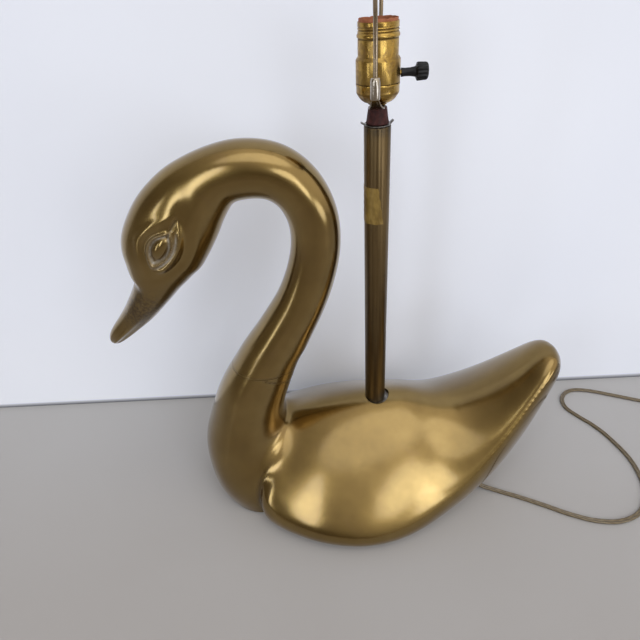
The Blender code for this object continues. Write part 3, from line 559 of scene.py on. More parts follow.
def gold_tape():
    """Old adhesive tape, gone dull gold."""
    m = Shader("gold_tape")
    crinkle = m.noise(160, 3, 0.6, stretch=(1, 1, 0.4))
    colour = m.ramp(crinkle, (0.35, (0.15, 0.088, 0.012)), (0.65, (0.27, 0.175, 0.040)))
    m.set(Base_Color=colour, Metallic=0.15)
    m.set(Roughness=m.ramp(crinkle, (0.35, 0.55), (0.65, 0.38)))
    m.set(Normal=m.bump(crinkle, 0.35, 0.0005))
    return m.material


def floor_paint():
    m = Shader("table_top")
    # Painted shade: the table is painted darker towards the front, where the room lights it less, with a
    # little noise in it.
    far = m.plus(m.along("Y"), m.plus(0.4, m.times(m.noise(3, 2, 0.5), 0.2)))
    m.set(Base_Color=m.ramp(far, (0.05, (0.305, 0.275, 0.25)), (0.65, (0.47, 0.47, 0.475))))
    m.set(Roughness=0.55, Specular_IOR_Level=0.35)
    return m.material


def wall_paint():
    """The wall, which lets a camera behind it see through, and has a painted shadow line along its foot over
    the table.
    """
    m = Shader("wall_paint")
    # Painted shadow: a dark strip along the wall's foot where it meets the table, with its glow taken away
    # there.
    foot_shadow = m.ramp(m.along(), (0.0035, 1.0), (0.0045, 0.0))
    paint = m.ramp(m.noise(2.2, 2, 0.5), (0.3, (0.81, 0.83, 0.90)), (0.7, (0.86, 0.875, 0.93)))
    m.set(Base_Color=m.mix(foot_shadow, paint, (0.10, 0.105, 0.12)), Roughness=0.8)
    m.set(Emission_Color=(0.72, 0.82, 1.0, 1.0))
    path = m.tree.nodes.new("ShaderNodeLightPath").outputs
    seen = m.plus(path["Is Camera Ray"], path["Is Glossy Ray"])
    seen = m.plus(seen, path["Is Transmission Ray"], clamp=True)
    m.set(Emission_Strength=m.times(seen, m.math("SUBTRACT", 0.16, m.times(foot_shadow, 0.16))))
    clear = m.tree.nodes.new("ShaderNodeBsdfTransparent")
    side = m.tree.nodes.new("ShaderNodeNewGeometry")
    choice = m.tree.nodes.new("ShaderNodeMixShader")
    m.put(choice.inputs[0], side.outputs["Backfacing"])
    m.put(choice.inputs[1], m.surface.outputs[0])
    m.put(choice.inputs[2], clear.outputs[0])
    m.put(m.tree.nodes["Material Output"].inputs["Surface"], choice.outputs[0])
    return m.material


# ---------------------------------------------------------------- camera
CAMERA_PLACE = (-0.0453, -0.4245, 0.5222)      # relative to the stem's axis
CAMERA_TURN = (54.87, 3.21, -0.63)             # degrees about X, Y and Z
CAMERA_LENS = 28.29                            # millimetres, on a 36 mm sensor


def add_camera():
    data = bpy.data.cameras.new("photo_camera")
    data.lens = CAMERA_LENS
    data.sensor_width = 36
    camera = placed("photo_camera", data)
    camera.location = on_stem(CAMERA_PLACE)
    camera.rotation_euler = [math.radians(angle) for angle in CAMERA_TURN]
    bpy.context.scene.camera = camera


# ---------------------------------------------------------------- cord
CORD_WIDTH = 0.0056
CORD_THICKNESS = 0.0028
CORD_TURNS = 5.458
COIL_MEAN_R = 0.0335
COIL_IN = math.radians(105)
COIL_ANGLE = math.radians(35)
CORD_STEP = 0.0022
CORD_TWIST = 0.011          # one turn of the strands in each core
# The cord's route on the table, as in the CAD: x and y, and the height of its middle above its lying height.
ROUTE = [
    (0.1240, -0.0489, 0.0026), (0.1340, -0.0523, 0.0010), (0.1460, -0.0570, 0.0), (0.1640, -0.0650, 0.0),
    (0.1880, -0.0770, 0.0), (0.2120, -0.0895, 0.0), (0.2380, -0.0990, 0.0), (0.2660, -0.1000, 0.0),
    (0.2930, -0.0870, 0.0), (0.3110, -0.0570, 0.0), (0.3150, -0.0190, 0.0), (0.3060, 0.0180, 0.0),
    (0.2955, 0.0400, 0.0), (0.2840, 0.0560, 0.0), (0.2737, 0.0734, 0.0), (0.2745, 0.0899, 0.0),
    (0.2845, 0.1030, 0.0), (0.2993, 0.1080, 0.0), (0.3200, 0.1045, 0.0), (0.3480, 0.0935, 0.0),
    (0.3730, 0.0830, 0.0),
]
LYING_Z = CORD_THICKNESS / 2 + GAP
EXIT_TURN = math.radians(-15)
EXIT_HEADING = np.array([math.cos(EXIT_TURN), math.sin(EXIT_TURN), 0])


def coil_centre():
    place = centre_of("cord_coil")
    return np.array([place.x, place.y])


def coil_points():
    """Three turns side by side from the rim in, then back out on top of them."""
    across = COIL_MEAN_R + CORD_WIDTH, COIL_MEAN_R, COIL_MEAN_R - CORD_WIDTH
    columns = (*across, *across[::-1])
    step_over = 0.16
    at = np.arange(0.045, CORD_TURNS, 1 / 72)
    radii, heights = [], []
    for turn in at:
        whole = int(turn)
        share = rise(turn - whole, 1 - step_over, 1)
        following = columns[min(whole + 1, 5)]
        radii.append(columns[whole] + (following - columns[whole]) * share)
        level = share if whole == 2 else float(whole > 2)
        heights.append(LYING_Z + level * CORD_THICKNESS)
    angles = COIL_IN - 2 * math.pi * at
    x, y = coil_centre()
    radii = np.array(radii)
    return np.stack([x + radii * np.cos(angles), y + radii * np.sin(angles), heights], axis=1)


def cord_path():
    """The whole centre line, from the bush to the plug."""
    start = cord_exit()
    lead = start + 0.0036 * EXIT_HEADING
    laid = on_stem([(x, y, LYING_Z + lift) for x, y, lift in ROUTE])
    rim = COIL_MEAN_R + 1.5 * CORD_WIDTH + CORD_WIDTH / 2 * math.cos(COIL_ANGLE) + 2 * GAP
    x, y = coil_centre()
    meet = np.array([x + rim * math.cos(COIL_IN), y + rim * math.sin(COIL_IN), LYING_Z])
    inward = COIL_IN - math.pi / 2 - COIL_ANGLE
    before = meet - 0.012 * np.array([math.cos(inward), math.sin(inward), 0])
    route = np.vstack([start, lead, laid, before, meet])
    route = splined(route, 30 * len(route))
    out = COIL_IN - 2 * math.pi * CORD_TURNS
    plug = [x + rim * math.cos(out), y + rim * math.sin(out), centre_of("plug_body").z - 0.0012]
    joined = np.vstack([route[:-12:6], coil_points()[4:-3:4], plug])
    return evenly(splined(joined, 12 * len(joined)), CORD_STEP)


def cord_exit():
    """Where the cord leaves its bush."""
    bush = centre_of("cord_bush")
    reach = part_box("cord_bush")[1].x - bush.x + GAP
    return np.array(bush) + EXIT_HEADING * reach / EXIT_HEADING[0] * 0.93


def cord_mesh(path):
    """A flat twin cord: two round cores side by side with a groove between, swept along the path."""
    r = CORD_THICKNESS / 2
    outline = []
    for side in (1, -1):
        for angle in np.radians(np.arange(-150, 151, 25)):
            outline.append((side * (r + r * math.cos(angle)), side * r * math.sin(angle)))
    outline = np.array(outline)
    forward = unit(np.gradient(path, axis=0))
    across = unit(np.stack([forward[:, 1], -forward[:, 0], np.zeros(len(path))], axis=1))
    up = np.cross(across, forward)
    return [p + outline[:, :1] * a + outline[:, 1:] * u for p, a, u in zip(path, across, up)], outline


def add_cord():
    path = cord_path()
    rings, outline = cord_mesh(path)
    cord = loft("flat_cord", rings, material=cord_plastic(), slot="clear_gold_cord",
                replaces=("cord", "cord_coil"))
    along = np.arange(len(path)) * CORD_STEP
    turn = np.arctan2(outline[:, 1], np.abs(outline[:, 0]) - CORD_THICKNESS / 2)
    # The strands' twist, which also paints a glint that comes and goes along the cord.
    wave = 0.5 + 0.5 * np.sin(along[:, None] * 2 * math.pi / CORD_TWIST + turn[None, :] * 2)
    set_attribute(cord.data, "twist_and_glint", wave.reshape(-1))


def set_attribute(mesh, name, values):
    made = mesh.attributes.get(name) or mesh.attributes.new(name, "FLOAT", "POINT")
    made.data.foreach_set("value", np.asarray(values, np.float32))


# ---------------------------------------------------------------- the casting
# Stations of the body, from breast to tail, as in the CAD: x, z, tilt of the section in degrees, half
# width, height above and depth below the widest line, then how full crest, flank, bilge and keel are.
BODY = [
    (-0.143, 0.028, 0, 0.010, 0.006, 0.010, 0.55, 0.55, 0.55, 0.55),
    (-0.140, 0.028, 0, 0.060, 0.034, 0.032, 0.50, 0.50, 0.60, 0.70),
    (-0.128, 0.024, 0, 0.089, 0.056, 0.030, 0.40, 0.30, 0.70, 0.80),
    (-0.100, 0.021, 0, 0.107, 0.074, 0.028, 0.30, 0.20, 0.70, 0.85),
    (-0.060, 0.020, 0, 0.121, 0.088, 0.027, 0.26, 0.13, 0.70, 0.90),
    (-0.015, 0.020, 0, 0.125, 0.096, 0.027, 0.24, 0.11, 0.70, 0.90),
    (0.030, 0.025, 0, 0.115, 0.093, 0.032, 0.26, 0.13, 0.70, 0.90),
    (0.074, 0.043, 12, 0.094, 0.0695, 0.048, 0.26, 0.17, 0.50, 0.85),
    (0.108, 0.070, 30, 0.077, 0.0450, 0.056, 0.27, 0.25, 0.30, 0.78),
    (0.139, 0.104, 45, 0.058, 0.0280, 0.048, 0.28, 0.30, 0.18, 0.72),
    (0.165, 0.137, 51, 0.041, 0.0180, 0.034, 0.32, 0.34, 0.18, 0.70),
    (0.182, 0.1590, 53, 0.029, 0.0140, 0.024, 0.38, 0.38, 0.22, 0.68),
    (0.190, 0.1695, 53, 0.017, 0.008, 0.013, 0.45, 0.45, 0.35, 0.60),
    (0.193, 0.1728, 53, 0.001, 0.001, 0.001, 0.55, 0.55, 0.55, 0.55),
]
# Stations of bill, head, neck and breast: x, z, half height in the plane of symmetry, half width.
NECK = [
    (-0.2770, 0.2090, 0.0005, 0.0005), (-0.2740, 0.2130, 0.0060, 0.0060), (-0.2663, 0.2213, 0.0094, 0.0100),
    (-0.2513, 0.2353, 0.0121, 0.0135), (-0.2357, 0.2511, 0.0153, 0.0175), (-0.2181, 0.2734, 0.0195, 0.0220),
    (-0.2090, 0.2930, 0.0295, 0.0255), (-0.2010, 0.3110, 0.0378, 0.0280), (-0.1898, 0.3292, 0.0394, 0.0290),
    (-0.1764, 0.3471, 0.0381, 0.0285), (-0.1591, 0.3654, 0.0331, 0.0265), (-0.1367, 0.3803, 0.0263, 0.0245),
    (-0.1120, 0.3850, 0.0252, 0.0240), (-0.0875, 0.3807, 0.0242, 0.0235), (-0.0686, 0.3650, 0.0232, 0.0230),
    (-0.0576, 0.3394, 0.0230, 0.0225), (-0.0565, 0.3100, 0.0233, 0.0225), (-0.0636, 0.2787, 0.0240, 0.0235),
    (-0.0763, 0.2471, 0.0252, 0.0260), (-0.0951, 0.2142, 0.0278, 0.0290), (-0.1150, 0.1837, 0.0305, 0.0330),
    (-0.1333, 0.1480, 0.0362, 0.0390), (-0.1472, 0.1100, 0.0405, 0.0475), (-0.1535, 0.0700, 0.0490, 0.0610),
    (-0.1485, 0.0320, 0.0505, 0.0710), (-0.1300, -0.0060, 0.0530, 0.0705),
]
SEAM_U = 20.25
LEVEL_U = 18.2, 20.0        # the sections turn level between these stations, so that the seam is level
WALL = 0.003
SEAM_SPARE = 0.22           # the breast is built this much past the seam, then cut level at it
SEAM_GAP = 0.00012
SPIGOT_LENGTH = 0.5
HEAD_HOLLOW_U = 6.0
BODY_HOLLOW_LAST = 10.0
BODY_QUARTER = 26
BOSS_R = 0.019              # under the stem's seat
BOSS_DEPTH = 0.006
PIPE_HOLE_R = 0.0052
NOTCH_R = 0.0045            # round the cord's bush
NECK_SIDES = 288
VOXEL = 0.0021
FLOW_Z = 0.042, 0.078       # breast and body flow into each other from these heights up
CREASE_Z = 0.034, 0.074     # and a crease parts them below these
CREASE = 0.0022             # deep
WING_LIP = 0.0016           # height of the wing's edge behind the crease
TURN_Z = 0.026              # where the wing turns in under the body
TURN_OUT = 0.0009


def bezier(a, b, c, d, count):
    t = np.linspace(0, 1, count + 1)[:, None]
    a, b, c, d = (np.array(point, float) for point in (a, b, c, d))
    return (1 - t) ** 3 * a + 3 * (1 - t) ** 2 * t * b + 3 * (1 - t) * t**2 * c + t**3 * d


def body_ring(station, quarter, inset=0.0):
    """One section of the body, going once round from the crest."""
    x, z, tilt, width, up, down, crest, flank, bilge, keel = station
    width, up, down = (max(size - inset, 0.0005) for size in (width, up, down))
    top = bezier((0, up), (crest * width, up), (width, flank * up), (width, 0), quarter)
    bottom = bezier((width, 0), (width, -bilge * down), (keel * width, -down), (0, -down), quarter)
    half = np.vstack([top, bottom[1:]])
    ring = np.vstack([half, half[-2:0:-1] * (-1, 1)])
    lean = math.radians(tilt)
    return np.stack([x - math.sin(lean) * ring[:, 1], ring[:, 0], z + math.cos(lean) * ring[:, 1]], axis=1)


def body_rings(per_station, quarter, inset=0.0):
    first, last = (1.0, BODY_HOLLOW_LAST) if inset else (0.0, len(BODY) - 1.0)
    at = np.linspace(first, last, int((last - first) * per_station) + 1)
    rows = spline(BODY, at)
    if not inset:
        rows[:, :6] = softened(rows[:, :6], at, 0.22)
    rings = [body_ring(row, quarter, inset) for row in rows]
    if inset:
        rings[0] = rings[0] + (inset, 0, 0)
    return rings


def neck_rings(at, sides, inset=0.0):
    """Sections of bill, head, neck and breast at the given stations, square to the line through them."""
    fine = np.linspace(0, len(NECK) - 1, 40 * (len(NECK) - 1) + 1)
    rows = softened(spline(NECK, fine), fine, 0.16)
    place = np.stack([np.interp(at, fine, rows[:, k]) for k in range(4)], axis=1)
    slope = softened(np.gradient(rows[:, :2], axis=0), fine, 0.12)
    slope = unit(np.stack([np.interp(at, fine, slope[:, k]) for k in range(2)], axis=1))
    level = rise(at, *LEVEL_U)[:, None]
    facing = unit(slope * (1 - level) + np.array([0, -1]) * level)
    place[:, 2] /= (slope * facing).sum(axis=1)
    angle = around(sides)
    rings = []
    for (x, z, height, width), (dx, dz) in zip(place, facing):
        across = max(height - inset, 0.0003) * np.cos(angle)
        out = max(width - inset, 0.0003) * np.sin(angle)
        rings.append(np.stack([x - dz * across, out, z + dx * across], axis=1))
    return np.array(rings)


def tree_of(rings):
    rings = np.array(rings)
    faces = loft_faces(len(rings), rings.shape[1])
    return BVHTree.FromPolygons([Vector(p) for p in rings.reshape(-1, 3)], faces)


def nearest(tree, points):
    """For each point, the nearest point of the tree's surface and its distance."""
    found = [tree.find_nearest(Vector(point)) for point in points]
    return np.array([f[0] for f in found]), np.array([f[3] for f in found])


def relaxed(points, edges, weight, times):
    """Points drawn towards the mean of their neighbours, each by its own weight."""
    count = len(points)
    degree = np.bincount(edges.ravel(), minlength=count)[:, None]
    for _ in range(times):
        total = np.zeros_like(points)
        for k in range(3):
            total[:, k] = np.bincount(edges[:, 0], points[edges[:, 1], k], count) + np.bincount(
                edges[:, 1], points[edges[:, 0], k], count
            )
        points = points + (total / degree - points) * weight[:, None]
    return points


def normals_of(points, faces):
    """A unit normal at each point of a quad mesh."""
    out = np.zeros_like(points)
    a, b, c, d = (points[faces[:, k]] for k in range(4))
    across = np.cross(c - a, d - b)
    for k in range(4):
        for axis in range(3):
            out[:, axis] += np.bincount(faces[:, k], across[:, axis], len(points))
    return out / np.maximum(np.linalg.norm(out, axis=1), 1e-12)[:, None]


def joined_skin(parts):
    """One closed quad skin around overlapping lofts, as points, faces and edges."""
    points, faces = [], []
    for rings in parts:
        rings = np.array(rings)
        first = sum(len(p) for p in points)
        points.append(rings.reshape(-1, 3))
        faces += [tuple(first + i for i in face) for face in loft_faces(len(rings), rings.shape[1])]
    source = placed("skin_source", mesh_of("skin_source", np.vstack(points), faces))
    remesh = source.modifiers.new("skin", "REMESH")
    remesh.mode = "VOXEL"
    remesh.voxel_size = VOXEL
    done = evaluated_mesh(source)
    bpy.data.objects.remove(source, do_unlink=True)
    corners = values_of(done.loops, "vertex_index", 1, int).reshape(-1, 4)
    skin = values_of(done.vertices, "co", 3), corners, values_of(done.edges, "vertices", 2, int)
    bpy.data.meshes.remove(done)
    return skin


def breast_places(per_station):
    first = SEAM_U - SEAM_SPARE
    return np.linspace(first, len(NECK) - 1, int((len(NECK) - 1 - first) * per_station) + 1)


def sculpted_body():
    """The outside of body and breast: smooth where they flow together, with a crease low down at the wing."""
    body = body_rings(14, BODY_QUARTER)
    breast = neck_rings(breast_places(24), 120)
    points, faces, edges = joined_skin([body, breast])
    trees = tree_of(body), tree_of(breast)
    points = relaxed(points, edges, np.full(len(points), 0.5), 3)
    (on_body, to_body), (on_breast, to_breast) = (nearest(tree, points) for tree in trees)
    is_body = to_body < to_breast
    below_seam = neck_seam_height(points)
    cut = below_seam < 0.001
    points = np.where(is_body[:, None], on_body, on_breast)
    other = np.where(is_body, to_breast, to_body)
    height = points[:, 2]
    beside = 0.25 + 0.75 * rise(np.abs(points[:, 1]), 0.005, 0.024)
    flow = rise(height, *FLOW_Z) * bell(other, 0.036) * beside * (~cut)
    points = relaxed(points, edges, 0.6 * flow, 230)
    points = relaxed(points, edges, np.where(cut, 0, 0.4), 10)
    points = relaxed(points, edges, 0.5 * bell(other, 0.005), 8)
    turn = bell(height - TURN_Z, 0.017) * (1 - rise(points[:, 0], 0.02, 0.08)) * is_body
    turn = turn * rise(other, 0.006, 0.020)
    points = points + normals_of(points, faces) * (TURN_OUT * turn)[:, None]
    points = relaxed(points, edges, 0.5 * turn, 26)
    low = 1 - rise(height, *CREASE_Z)
    out = normals_of(points, faces)
    lip = WING_LIP * (1 - rise(height, 0.015, 0.085)) * is_body * bell(other - 0.012, 0.010)
    lip = lip * (points[:, 0] < -0.05)
    crease = CREASE * low * bell(other, 0.0036)
    points = points + out * (lip - crease)[:, None]
    points = relaxed(points, edges, 0.45 * low * bell(other, 0.03), 9)
    # Painted shade darkens the low crease; a dark line marks the seam under the neck.
    grime_and_shade = 0.9 * low * bell(other, 0.0035) + 0.8 * bell(below_seam, 0.0012)
    return points, faces, grime_and_shade


def neck_seam_height(points):
    """How far points lie below the seam plane, measured along the neck."""
    ring = neck_rings([SEAM_U], 8)[0]
    middle = ring.mean(axis=0)
    ahead = neck_rings([SEAM_U + 0.1], 8)[0].mean(axis=0)
    along = (ahead - middle) / np.linalg.norm(ahead - middle)
    near = np.linalg.norm((points - middle)[:, [0, 2]], axis=1) < 0.06
    return np.where(near, (points - middle) @ along, 1.0)


def loft_cutter(name, rings):
    rings = np.array(rings)
    mesh = mesh_of(name, rings.reshape(-1, 3), loft_faces(len(rings), rings.shape[1]))
    face_outwards(mesh)
    return cutter(name, mesh)


def round_cutter(name, radius, low, high, x=0.0, y=0.0):
    bm = bmesh.new()
    bmesh.ops.create_cone(
        bm, cap_ends=True, segments=96, radius1=radius, radius2=radius, depth=high - low,
        matrix=Matrix.Translation((STEM_X + x, y, (low + high) / 2)),
    )
    return cutter(name, mesh_from(bm, name))


def add_swan_body(material):
    """The fine body, hollowed the way the CAD casting is."""
    points, faces, grime_and_shade = sculpted_body()
    seat_x = centre_of("stem_seat_washer").x
    seat_r = radius_of("stem_seat_washer") + 2 * GAP
    seat_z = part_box("stem_seat_washer")[0].z - GAP
    rim_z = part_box("swan_body_shell")[0].z
    body = add_piece("swan_body", on_stem(points), [tuple(face) for face in faces], material,
                     slot="cast_brass", replaces=("swan_body_shell",))
    face_outwards(body.data)
    set_attribute(body.data, "grime_and_shade", grime_and_shade)
    hollow = loft_cutter("hollow", on_stem(body_rings(2, 7, WALL)))
    bpy.context.scene.collection.objects.link(hollow)
    cut(hollow, [round_cutter("boss", BOSS_R, seat_z - BOSS_DEPTH, seat_z + 0.02)])
    places = [SEAM_U - 0.5, SEAM_U, SEAM_U + 0.25, *np.arange(SEAM_U + 0.75, len(NECK) - 1, 0.5)]
    loft_cutter("breast_hollow", on_stem(neck_rings(places, 48, WALL)))
    box_cutter("under", (0, 0, rim_z - 0.5), (1, 1, 1))
    round_cutter("seat", seat_r, seat_z, seat_z + 0.05, x=seat_x - STEM_X)
    round_cutter("bore", PIPE_HOLE_R, seat_z - 0.05, seat_z + 0.01)
    notch_cutter()
    seam_z = neck_rings([SEAM_U], 8)[0][:, 2].mean() - SEAM_GAP
    box_cutter("above_seam", on_stem([(-0.112, 0, seam_z + 0.02)])[0], (0.10, 0.10, 0.04))
    cut(body, list(CUTTERS.objects))
    smooth(body.data, 50)


def box_cutter(name, middle, size):
    bm = bmesh.new()
    bmesh.ops.create_cube(bm, size=1.0, matrix=Matrix.Translation(middle) @ Matrix.Diagonal((*size, 1)))
    return cutter(name, mesh_from(bm, name))


def notch_cutter():
    """The round-topped notch for the cord's bush."""
    bush = centre_of("cord_bush")
    outline = [(NOTCH_R * math.cos(a), NOTCH_R * math.sin(a)) for a in np.linspace(0, math.pi, 25)]
    outline += [(-NOTCH_R, -0.02), (NOTCH_R, -0.02)]
    turn = Matrix.Rotation(EXIT_TURN, 4, "Z")
    ends = -0.033, 0.045
    loft_cutter("notch", [[tuple(turn @ Vector((x, y, z)) + bush) for y, z in outline] for x in ends])


# ---------------------------------------------------------------- head
EYE_PLACE = (-0.1927, -0.025, 0.3273)
EYE_LINE = (0.0227, 0.0, 0.0306)        # from the inner corner of the eye to the outer one
BILL_END_U = 4.3
NOTCH_U = 5.15                          # the step between the bill and the forehead


def eye_frame(points, normals, side):
    """Each point's place along and across the eye, counted from its middle, on one side of the head."""
    target = np.array(EYE_PLACE) * (1, -side, 1)
    nearby = np.argmin(np.linalg.norm(points - target, axis=1))
    out = normals[nearby]
    along = np.array(EYE_LINE)
    along = along - out * (along @ out)
    along /= np.linalg.norm(along)
    across = np.cross(out, along) * side
    offset = points - points[nearby]
    near = np.linalg.norm(offset, axis=1) < 0.075
    return offset @ along, offset @ across, near & (normals @ out > 0.0)


def almond(p, q, length, width):
    """Signed distance, roughly, to an almond with corners at both ends: negative inside."""
    edge = width * (1 - np.clip(p / length, -1.6, 1.6) ** 2)
    slope = 2 * width * p / length**2
    return (np.abs(q) - edge) / np.sqrt(1 + slope**2)


def eye_relief(p, q):
    """Height of the eye, lids, folds and brow, where pale polish has stayed, and where it is darker: painted
    shade in the eye's rim, the fold and the hollow under the brow, dark deposits along the furrow.
    """
    bent = q - 0.0013 * (p / 0.018) ** 2
    gape = almond(p, bent, 0.0172, 0.0084)
    ball = np.clip(1 - ((p - 0.0008) / 0.0132) ** 2 - (bent / 0.0072) ** 2, 0, None)
    height = 0.0046 * ball**0.62 - 0.0026 * rise(-gape, -0.0006, 0.0022)
    groove = bell(gape + 0.0006, 0.0010)
    height -= 0.0008 * groove
    height += 0.0012 * bell(gape - 0.0016, 0.0015)
    fold_line = 0.0114 * (1 - ((p - 0.002) / 0.030) ** 2)
    behind = rise(q, 0.000, 0.003) * between(p, -0.024, -0.017, 0.015, 0.025)
    fold = bell(q - fold_line, 0.0012) * behind
    height -= 0.0010 * fold
    cheek_line = 0.0144 * (1 - ((p - 0.001) / 0.038) ** 2)
    height += 0.0024 * bell(q - cheek_line, 0.0028) * between(p, -0.026, -0.014, 0.020, 0.036)
    height -= 0.0018 * bell(q - cheek_line - 0.0070, 0.0050) * bell(p, 0.026)
    steep = np.where(p < -0.003, 0.012, 0.018)
    brow_line = -0.0190 + 0.0045 * (np.abs(p + 0.003) / steep) ** 1.6
    height += 0.0014 * bell(q - brow_line, 0.0042) * bell(p - 0.006, 0.022)
    height -= 0.0016 * bell(q - brow_line - 0.0070, 0.0042) * bell(p - 0.002, 0.018)
    furrow = bell(q - 0.0011, 0.0016) * between(p, 0.015, 0.019, 0.030, 0.038)
    height -= 0.0009 * furrow
    residue = np.clip(groove + 0.9 * fold + 0.20 * bell(gape - 0.0020, 0.0010), 0, 1)
    # Painted shade in the hollow under the brow.
    hollow = 0.35 * bell(q - brow_line - 0.0070, 0.0040) * bell(p, 0.018)
    grime_and_shade = np.clip(0.55 * bell(gape + 0.0018, 0.0012) + 0.7 * furrow + hollow + 0.3 * fold, 0, 1)
    return height, residue, grime_and_shade


def cheek_relief(p, q):
    """The long fold that runs from under the eye up to the neck, and the hollow inside it."""
    fold_line = 0.0280 - 0.25 * p - 1.1 * p**2
    fold = bell(q - fold_line, 0.0075) * between(p, -0.012, 0.015, 0.040, 0.068)
    hollow = bell(q - fold_line + 0.0130, 0.0085) * bell(p - 0.038, 0.016)
    return 0.0012 * fold - 0.0013 * hollow


def sculpt_head(rings, places):
    """Adds the eyes, the brows, the cheeks and the bill's edges to the outer rings."""
    count, sides = rings.shape[:2]
    faces = np.array([face for face in loft_faces(count, sides, closed_ends=False)])
    points = rings.reshape(-1, 3)
    angle = np.tile(around(sides), count)
    station = np.repeat(places, sides)
    out = -normals_of(points, faces)
    bill = (1 - rise(station, BILL_END_U - 0.8, BILL_END_U + 0.5)) * rise(station, 0.6, 1.6)
    wrapped = np.abs((angle + math.pi) % (2 * math.pi) - math.pi)
    edge = bell(np.degrees(wrapped) - 98, 13)
    under = bell(np.degrees(wrapped) - 132, 24)
    points = points + out * (bill * (0.0016 * edge - 0.0012 * under))[:, None]
    out = -normals_of(points, faces)
    residue = np.zeros(len(points))
    grime_and_shade = np.zeros(len(points))
    for side in (1, -1):
        p, q, near = eye_frame(points, out, side)
        height, pale, dark = eye_relief(p, q)
        fade = near * (1 - rise(np.hypot(p, q), 0.030, 0.042))
        points = points + out * (height * fade + near * cheek_relief(p, q))[:, None]
        residue += pale * fade * (np.hypot(p, q) < 0.026)
        grime_and_shade += dark * fade
    notch = bell(station - NOTCH_U, 0.28) * rise(np.cos(wrapped), 0.1, 0.8)
    points = points - out * (0.0014 * notch)[:, None]
    base = bell(station - BILL_END_U, 0.9)
    pitted = np.clip(base * rise(np.sin(wrapped), 0.2, 0.8), 0, 1)
    # Dark pitting at the bill's base, and painted shade in the notch above it.
    grime_and_shade += 0.45 * base * rise(np.sin(wrapped), 0.3, 0.9) + 0.4 * notch
    seam = bell(station - SEAM_U, 0.02)
    return points.reshape(rings.shape), residue, np.clip(grime_and_shade + 0.6 * seam, 0, 1), pitted


def add_swan_neck(material):
    """Bill, head and neck, with the spigot that goes into the body."""
    end = SEAM_U - 0.003
    places = np.concatenate([
        np.linspace(0, 4.4, 72, endpoint=False), np.linspace(4.4, 9.8, 230, endpoint=False),
        np.linspace(9.8, end, 130),
    ])
    outer, residue, grime_and_shade, pitted = sculpt_head(neck_rings(places, NECK_SIDES), places)
    spigot_end = SEAM_U + SPIGOT_LENGTH
    spigot = neck_rings([end, SEAM_U + 0.25, spigot_end], NECK_SIDES, WALL + GAP)
    bore = neck_rings([spigot_end, end - 0.3], NECK_SIDES, WALL + GAP + 0.0025)
    hollow = neck_rings(np.linspace(end - 0.3, HEAD_HOLLOW_U, 30), NECK_SIDES, WALL)
    rings = np.vstack([outer, spigot, bore, hollow])
    neck = loft("swan_neck", on_stem(rings), material=material, slot="cast_brass",
                replaces=("neck_head_shell",), sharp=50)
    spare = len(rings) * NECK_SIDES - len(residue)
    for name, values in (("residue", residue), ("grime_and_shade", grime_and_shade), ("pitted", pitted)):
        set_attribute(neck.data, name, np.concatenate([values, np.zeros(spare)]))


# ---------------------------------------------------------------- stem, harp, socket and switch
HARP_TURN = math.radians(-9.5)
HARP_WIRE_R = 0.0016
HARP_HALF_SPACING = 0.030
HARP_HALF_WIDTH = 0.059
# One half of the harp, as in the CAD: height above the leg's foot and distance from the middle, as shares.
HARP_HALF = [
    (0.00, 0.51), (0.085, 0.51), (0.095, 0.51), (0.19, 0.56), (0.36, 0.77), (0.52, 0.94), (0.67, 1.00),
    (0.81, 0.92), (0.92, 0.68), (0.985, 0.36), (1.00, 0.12),
]
HARP_STRAIGHT = 3
STUD_R = 0.0031
STUD_COLLAR_R = 0.0062
FERRULE_R = 0.0037
SHEET = 0.0005              # of the socket's cap and shell
STEP_IN = 0.0017            # of the shell above its skirt, and of the bushing
CAP_LIP = 0.00035
CAP_BEND = 0.0078           # from the cap's foot up to where its side begins
SKIRT_HEIGHT = 0.0162       # of the shell above the cap
BEAD_DEPTH = 0.0092         # of the shell's bead below its rim
KEY_HOLE_R = 0.0042         # in the shell and the liner, for the switch key
TAPE_FOOT = 0.3318
TAPE_HEIGHT = 0.0332
TAPE_THICKNESS = 0.0002


def on_harp(points):
    """Points in the harp's own turned frame, moved to the row frame."""
    x, y, z = np.moveaxis(np.array(points, float), -1, 0)
    cos, sin = math.cos(HARP_TURN), math.sin(HARP_TURN)
    return on_stem(np.stack([x * cos - y * sin, x * sin + y * cos, z], axis=-1))


def add_stem():
    low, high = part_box("stem_tube")
    r = radius_of("stem_tube")
    inner = r - 0.001
    profile = near(r, low.z, (-2, 0), (0, 3)) + near(r, high.z, (0, -12), (0, -4), (-3, 0))
    profile += near(inner, high.z, (2, 0), (0, -4)) + [(inner, low.z)]

    def torn(angles, radius, height):
        at_top = rise(height, high.z - 0.0010, high.z - 0.0003)
        worn = at_top * (ragged(angles, 0.0003) - 0.0002)
        return radius + worn, height - at_top * ragged(angles + 1, 0.0009)

    turned("stem", profile, 160, wobble=torn, material=stem_brass(), slot="stem_brass",
           replaces=("stem_tube",))


def add_tape():
    """Old tape round the front of the stem. Its right edge is slanted."""
    inner = radius_of("stem_tube") + 0.00004
    outer = inner + TAPE_THICKNESS
    rings = []
    for share in np.linspace(0, 1, 30):
        height = TAPE_FOOT + TAPE_HEIGHT * share
        left, right = math.radians(-128), math.radians(25 - 24 * share + 1.5 * math.sin(23 * share))
        angles = np.linspace(left, right, 60)
        z = height + 0.0002 * np.sin(9 * angles)
        lift = outer + 0.00015 * rise(angles, right - 0.12, right) + 0.00008 * np.sin(31 * share + 5 * angles)
        front = np.stack([lift * np.sin(angles), -lift * np.cos(angles), z], axis=1)
        back = np.stack([inner * np.sin(angles), -inner * np.cos(angles), z], axis=1)
        rings.append(np.vstack([front, back[::-1]]))
    loft("stem_tape", on_stem(rings), material=gold_tape(), sharp=60)


